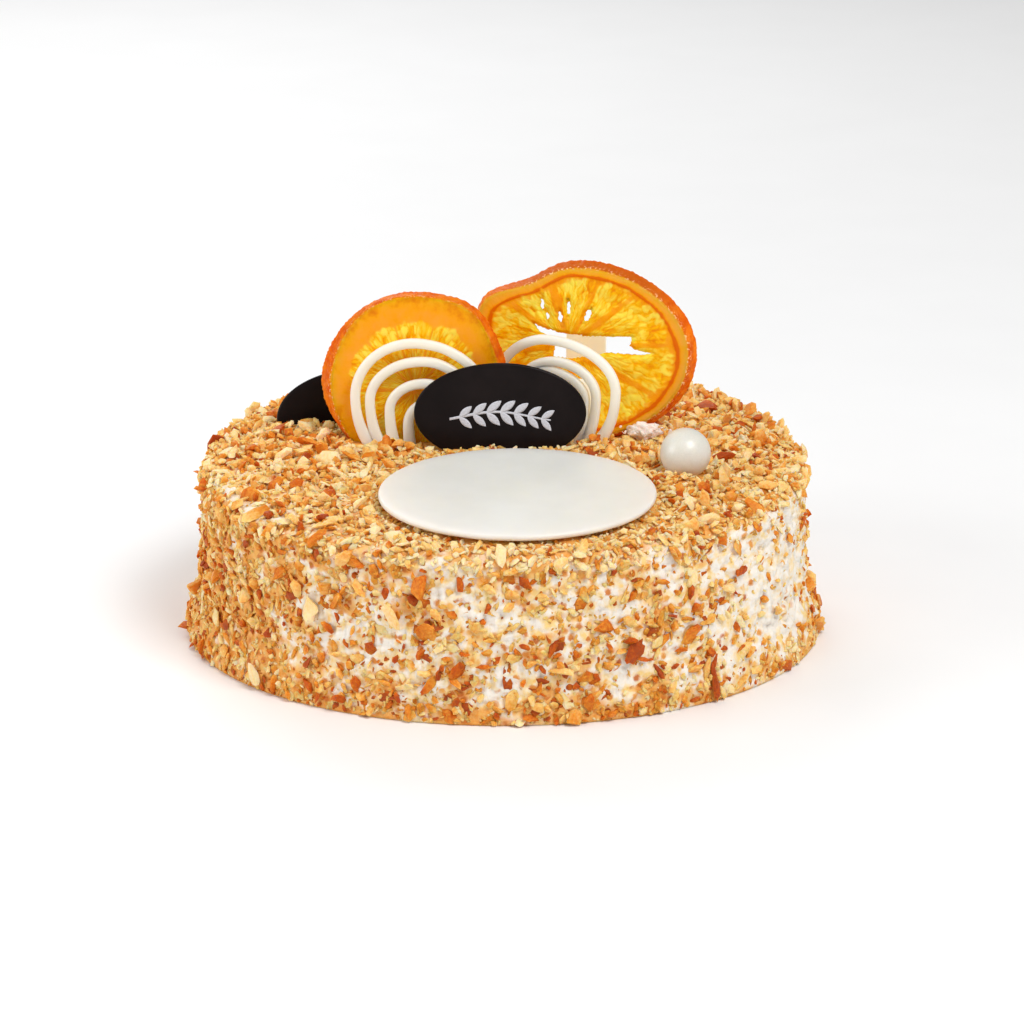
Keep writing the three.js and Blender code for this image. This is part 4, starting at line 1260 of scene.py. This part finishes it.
    def peel(self, name, spec, settings, material):
        """The peel: a rounded square carried round the slice's outline, its front outer corner
        pulled in by the bevel and its skin faintly bumpy. The square is a circle's sine and
        cosine to the power 0.55, cut off at 1. It dried out most at the top."""
        turn, corner = np.meshgrid(even_turns(self.columns), even_turns(self.peel_columns),
                                   indexing="ij")
        out, back = (np.clip(1.12 * blunt(wave(corner), 0.55), -1, 1) for wave in (np.cos, np.sin))
        outline = spec["radius"] * slice_reach(spec, turn)
        bevel = slice_bevel(spec, turn)
        inner = outline - bevel - settings.peel_width
        radius = mix(inner, outline, (out + 1) / 2) - bevel * (1 - back) / 2 * (out + 1) / 2
        middle = slice_bend(spec, turn, radius / outline)
        y = middle + back * (settings.peel_half + self.peel_over)
        points = xyz(radius * np.cos(turn), y, radius * np.sin(turn))
        skin = smooth(0.78, 1.0, out)
        bumps = 0.14 * waves(points, 2.3 * MM, spec["seed"] + 60)
        bumps += 0.08 * waves(points, 1.2 * MM, spec["seed"] + 61)
        swell = 1 + (bumps * MM * (0.4 + 0.6 * skin) / outline)[..., None]
        points = points * np.concatenate([swell, np.ones_like(swell), swell], axis=-1)
        # Where sugar crusts the ridge. Its pale grains also serve as painted glints.
        ridge = np.exp(-(((out - 0.92) / 0.24) ** 2)) * smooth(0.4, 0.8, -back)
        ridge = 0.85 * ridge + 0.15 * skin * smooth(-0.2, 0.8, -back)
        ridge = np.clip(ridge * stretches(turn, spec["sugar"]), 0, 1)
        values = {"zest": skin, "ridge": ridge, "rind": rind_tone(spec, turn, radius / outline),
                  "brown": spec["dried"] * smooth(0.25, 0.85, np.sin(turn))}
        piece(f"orange_peel_{name}", *lofted(placed(points, spec), close_rows=True), material,
              "orange_peel", [f"orange_slice_{name}"],
              {key: numbers.ravel() for key, numbers in values.items()})

    def execute(self, context):
        settings = context.scene.cake_slices
        flesh, peel = flesh_material(settings), peel_material(settings)
        for name, spec in SLICES.items():
            self.flesh(name, spec, settings, flesh)
            self.peel(name, spec, settings, peel)
        return {"FINISHED"}


def quarter(start, end, rising, steps):
    """Quarter of an ellipse, its last point left off. It leaves start upright if rising."""
    turn = math.pi / 2 * np.arange(steps)[:, None] / steps
    first, second = (np.cos(turn), np.sin(turn))
    if rising:
        centre = np.array([end[0], start[1]])
        return centre + (np.array(start) - centre) * first + (np.array(end) - centre) * second
    centre = np.array([start[0], end[1]])
    return centre + (np.array(end) - centre) * second + (np.array(start) - centre) * first


class CAKE_OT_rings(Operator):
    """Make the two ornaments of piped white chocolate arches"""

    bl_idname = "cake.rings"
    bl_label = "Chocolate arches"

    def arch(self, arch, settings, ornament):
        """A rounded band carried along four quarter ellipses, wider towards its feet."""
        foot, side, top, far_side, far_foot = arch
        line = np.concatenate([
            quarter(foot, side, False, 14), quarter(side, top, True, 24),
            quarter(top, far_side, False, 24), quarter(far_side, far_foot, True, 14),
            [far_foot],
        ]) * MM
        along = np.gradient(line, axis=0)
        along /= np.linalg.norm(along, axis=1, keepdims=True)
        low = np.clip(1 - (line[:, 1] - foot[1] * MM) / settings.foot_height, 0, 1)
        half = mix(settings.band_width, settings.foot_width, low)[:, None] / 2
        corner = even_turns(20)
        across = half * blunt(np.cos(corner), 0.8)
        depth = np.broadcast_to(settings.band_depth / 2 * blunt(np.sin(corner), 0.75),
                                across.shape)
        x = line[:, :1] - along[:, 1:] * across
        z = line[:, 1:] + along[:, :1] * across
        points = xyz(x, depth, z)
        points[..., 1] += 0.12 * MM * waves(points, 9 * MM, 71)
        return lofted(placed(points, ornament))

    def execute(self, context):
        settings = context.scene.cake_chocolate
        material = ivory_material("white_arches", settings.ivory)
        for name, ornament in ORNAMENTS.items():
            arches = [self.arch(arch, settings, ornament) for arch in ornament["arches"]]
            piece(name, *joined(arches), material, "white_chocolate", [name])
        return {"FINISHED"}


def oval_plate(wide, tall, thick, edge, upright, seed):
    """An oval plate with a rounded edge: rings of points from the middle of one face round the
    edge to the middle of the other, faintly uneven."""
    turn, lip = even_turns(160), np.linspace(-math.pi / 2, math.pi / 2, 9)
    face = np.linspace(0.04, 1, 14)[:-1]
    level = np.ones(len(face))
    outward = np.concatenate([face, np.ones(len(lip)), face[::-1]])
    grown = np.concatenate([0 * level, np.cos(lip), 0 * level]) * edge
    height = np.concatenate([-level, np.sin(lip), level]) * thick / 2
    a = ((wide - edge) * outward + grown)[:, None] * np.cos(turn)
    b = ((tall - edge) * outward + grown)[:, None] * np.sin(turn)
    c = np.broadcast_to(height[:, None], a.shape)
    points = xyz(*([a, c, b] if upright else [a, b, c])) * MM
    axis = 1 if upright else 2
    flat = points * ((1, 0, 1) if upright else (1, 1, 0))
    points[..., axis] += 0.06 * MM * waves(flat, 16 * MM, seed)
    return points


class CAKE_OT_dark_plaques(Operator):
    """Make the two dark chocolate plaques and the printed sprig"""

    bl_idname = "cake.dark_plaques"
    bl_label = "Dark plaques"

    def leaf(self, x, z, size, tilt):
        """A pointed leaf: its half width is a fifth of its length times a sine of the way along,
        to the power 0.8."""
        along = np.linspace(0, 1, 15)[:, None]
        b = 0.2 * np.sin(math.pi * along) ** 0.8 * size * np.linspace(-1, 1, 5)
        a = np.broadcast_to(along * size, b.shape)
        turn = math.radians(tilt)
        right = x + a * math.cos(turn) - b * math.sin(turn)
        up = z + a * math.sin(turn) + b * math.cos(turn)
        return right, up

    def sprig(self, settings):
        """A sprig of leaves lying on its side: a stem as a gentle wave with leaves in pairs."""
        high = settings.print_height / MM

        def stem(part):
            """The stem's middle line: a sine wave along x."""
            wave = np.sin(part * math.pi * SPRIG["turns"] - SPRIG["start"])
            return mix(-SPRIG["half"], SPRIG["half"], part), SPRIG["wave"] * wave - SPRIG["drop"]

        part, corner = np.linspace(0, 1, 40)[:, None], even_turns(8)
        stem_x, stem_z = stem(part)
        up = stem_z + mix(*SPRIG["stem"], part) * np.cos(corner)
        rows = [xyz(np.broadcast_to(stem_x, up.shape),
                    np.broadcast_to(high * np.sin(corner), up.shape), up)]
        for number in range(SPRIG["pairs"]):
            x, z = stem((number + 0.7) / (SPRIG["pairs"] + 0.4))
            size = SPRIG["leaf"] - SPRIG["shorter"] * abs(number - SPRIG["longest"])
            for tilt in (SPRIG["tilt"], -SPRIG["tilt"]):
                right, up = self.leaf(x, z, size, tilt - number * SPRIG["less"])
                front = xyz(right, np.full(right.shape, -high), up)
                back = front[:, ::-1] * (1, 0, 1) + (0, SPRIG["sunk"], 0)
                rows.append(np.concatenate([front, back], axis=1))
        lift = (0, -DARK_PLAQUE["thick"] / 2 * MM, 0)
        points, faces = joined([lofted(some * MM + lift) for some in rows])
        return placed(points, DARK_PLACES["dark_plaque_front"]), faces

    def execute(self, context):
        settings = context.scene.cake_chocolate
        material = dark_material(settings)
        size = DARK_PLAQUE
        for name, place in DARK_PLACES.items():
            points = oval_plate(size["wide"], size["tall"], size["thick"],
                                settings.plate_edge / MM, True, 81)
            piece(name, *lofted(placed(points, place)), material, "dark_chocolate", [name])
        piece("printed_sprig", *self.sprig(settings), print_material(settings), "silver_print")
        return {"FINISHED"}


class CAKE_OT_white_plaque(Operator):
    """Make the flat white chocolate plaque on the front of the top"""

    bl_idname = "cake.white_plaque"
    bl_label = "White plaque"

    def execute(self, context):
        settings = context.scene.cake_chocolate
        size = WHITE_PLAQUE
        points = oval_plate(size["wide"], size["tall"], size["thick"],
                            settings.plate_edge / MM, False, 82)
        middle = tuple(np.array(size["at"]) * MM)
        material = ivory_material("white_plaque", settings.plaque, middle)
        piece("white_plaque", *lofted(placed(points, size)), material, "white_chocolate",
              ["white_plaque"])
        return {"FINISHED"}


class CAKE_OT_white_tiles(Operator):
    """Make the two upright white chocolate tiles behind the arches, as rings of rounded
    rectangles from the middle of one face round the edge to the other"""

    bl_idname = "cake.white_tiles"
    bl_label = "White tiles"

    def execute(self, context):
        # The tiles get painted light: an emission that brightens them as if lit through from
        # behind.
        material = ivory_material("white_tiles", context.scene.cake_chocolate.ivory, painted_glow=0.3)
        turn, lip = even_turns(96), np.linspace(-math.pi / 2, math.pi / 2, 7)
        square_x, square_z = (np.clip(1.6 * wave(turn), -1, 1) for wave in (np.cos, np.sin))
        grow = np.concatenate([[-9.0, -3.0], TILE_LIP * (np.cos(lip) - 1), [-3.0, -9.0]])
        grow = np.maximum(grow, 1 - TILE_WIDE / 2)[:, None]
        depth = np.concatenate([[-1, -1], np.sin(lip), [1, 1]]) * TILE_THICK / 2
        for name, tile in TILES.items():
            x = (TILE_WIDE / 2 + grow) * square_x
            z = (tile["tall"] / 2 + grow) * square_z
            points = xyz(x, np.broadcast_to(depth[:, None], x.shape), z) * MM
            points[..., 1] += 0.08 * MM * waves(points * (1, 0, 1), 9 * MM, 83)
            piece(name, *lofted(placed(points, tile)), material, "white_chocolate", [name])
        return {"FINISHED"}


class CAKE_OT_pearl(Operator):
    """Make the sugar pearl"""

    bl_idname = "cake.pearl"
    bl_label = "Sugar pearl"

    def execute(self, context):
        settings = context.scene.cake_chocolate
        unit = ball(96, 48, 1.54)
        uneven = 1 + 0.006 * waves(unit, 0.9, 91)[..., None]
        points = unit * uneven * settings.pearl_radius + np.array(PEARL_AT) * MM
        piece("pearl", *lofted(points), pearl_material(settings), "sugar_pearl", ["pearl"])
        return {"FINISHED"}


class CAKE_OT_stage(Operator):
    """Make the floor, the soft lights and the camera"""

    bl_idname = "cake.stage"
    bl_label = "Stage"

    floor_half = 3.0
    floor_below = 0.3 * MM
    aim = (0, 0, 0.05)  # What the lights look at
    look_at = (2.7, 0, 39.7)  # What the camera looks at, in millimetres
    lights = (  # name, place, size
        ("key", (0.6, -0.8, 1.3), 0.7),
        ("fill", (-1.3, -0.35, 0.55), 0.8),
        ("back", (-0.35, 1.1, 0.75), 0.7),
    )

    def light(self, name, where, size, power):
        """A square soft light that looks at the cake."""
        lamp = bpy.data.lights.new(name, "AREA")
        lamp.shape = "SQUARE"
        lamp.size = size
        lamp.energy = power
        made = bpy.data.objects.new(name, lamp)
        bpy.context.scene.collection.objects.link(made)
        made.location = where
        toward = np.array(self.aim) - np.array(where)
        flat = math.hypot(toward[0], toward[1])
        made.rotation_euler = (math.atan2(flat, -toward[2]), 0, math.atan2(-toward[0], toward[1]))

    def execute(self, context):
        settings = context.scene.cake_stage
        scene = context.scene
        corners = [(x * self.floor_half, y * self.floor_half, -self.floor_below)
                   for x, y in ((-1, -1), (1, -1), (1, 1), (-1, 1))]
        mesh = bpy.data.meshes.new("floor")
        mesh.from_pydata(corners, [], [(0, 1, 2, 3)])
        surface = Shader("pale_floor", Roughness=0.6)
        surface.clouds(surface.noise(60 * MM, 2, 0.5), 0.3, 0.7, settings.floor, 0.985)
        mesh.materials.append(surface.material)
        floor = bpy.data.objects.new("floor", mesh)
        scene.collection.objects.link(floor)

        world = bpy.data.worlds.new("soft_sky")
        world.use_nodes = True
        sky = world.node_tree.nodes["Background"].inputs
        sky["Color"].default_value = (1, 1, 1, 1)
        sky["Strength"].default_value = settings.sky
        scene.world = world
        scene.view_settings.view_transform = "Standard"

        for name, where, size in self.lights:
            self.light(name, where, size, getattr(settings, name))

        lens = bpy.data.cameras.new("camera")
        lens.lens = settings.lens
        lens.clip_start, lens.clip_end = 0.05, 20
        camera = bpy.data.objects.new("camera", lens)
        scene.collection.objects.link(camera)
        rise = math.radians(settings.elevation)
        away = np.array([0, -math.cos(rise), math.sin(rise)]) * settings.distance
        camera.location = np.array(self.look_at) * MM + away
        camera.rotation_euler = (math.pi / 2 - rise, 0, 0)
        scene.camera = camera
        return {"FINISHED"}


# ---------------------------------------------------------------- the add-on
OPERATORS = (
    CAKE_OT_cream, CAKE_OT_slices, CAKE_OT_rings, CAKE_OT_dark_plaques, CAKE_OT_white_plaque,
    CAKE_OT_white_tiles, CAKE_OT_pearl, CAKE_OT_nuts, CAKE_OT_stage,
)
SETTINGS = {
    "cake_cream": CreamSettings, "cake_nuts": NutSettings, "cake_slices": SliceSettings,
    "cake_chocolate": ChocolateSettings, "cake_stage": StageSettings,
}


class CAKE_PT_panel(Panel):
    """Lists the steps that make the cake, in order"""

    bl_idname = "CAKE_PT_panel"
    bl_label = "Orange Cake"
    bl_space_type = "VIEW_3D"
    bl_region_type = "UI"
    bl_category = "Cake"

    def draw(self, context):
        for operator in OPERATORS:
            self.layout.operator(operator.bl_idname)


def register():
    """Register the classes and hang their settings on the scene."""
    for group in (*SETTINGS.values(), *OPERATORS, CAKE_PT_panel):
        bpy.utils.register_class(group)
    for name, group in SETTINGS.items():
        setattr(bpy.types.Scene, name, PointerProperty(type=group))


def unregister():
    """Take the settings and the classes away again."""
    for name in SETTINGS:
        delattr(bpy.types.Scene, name)
    for group in (CAKE_PT_panel, *reversed(OPERATORS), *SETTINGS.values()):
        bpy.utils.unregister_class(group)


def main():
    """Make every piece in order."""
    register()
    for operator in OPERATORS:
        family, name = operator.bl_idname.split(".")
        getattr(getattr(bpy.ops, family), name)()


if __name__ == "__main__":
    main()
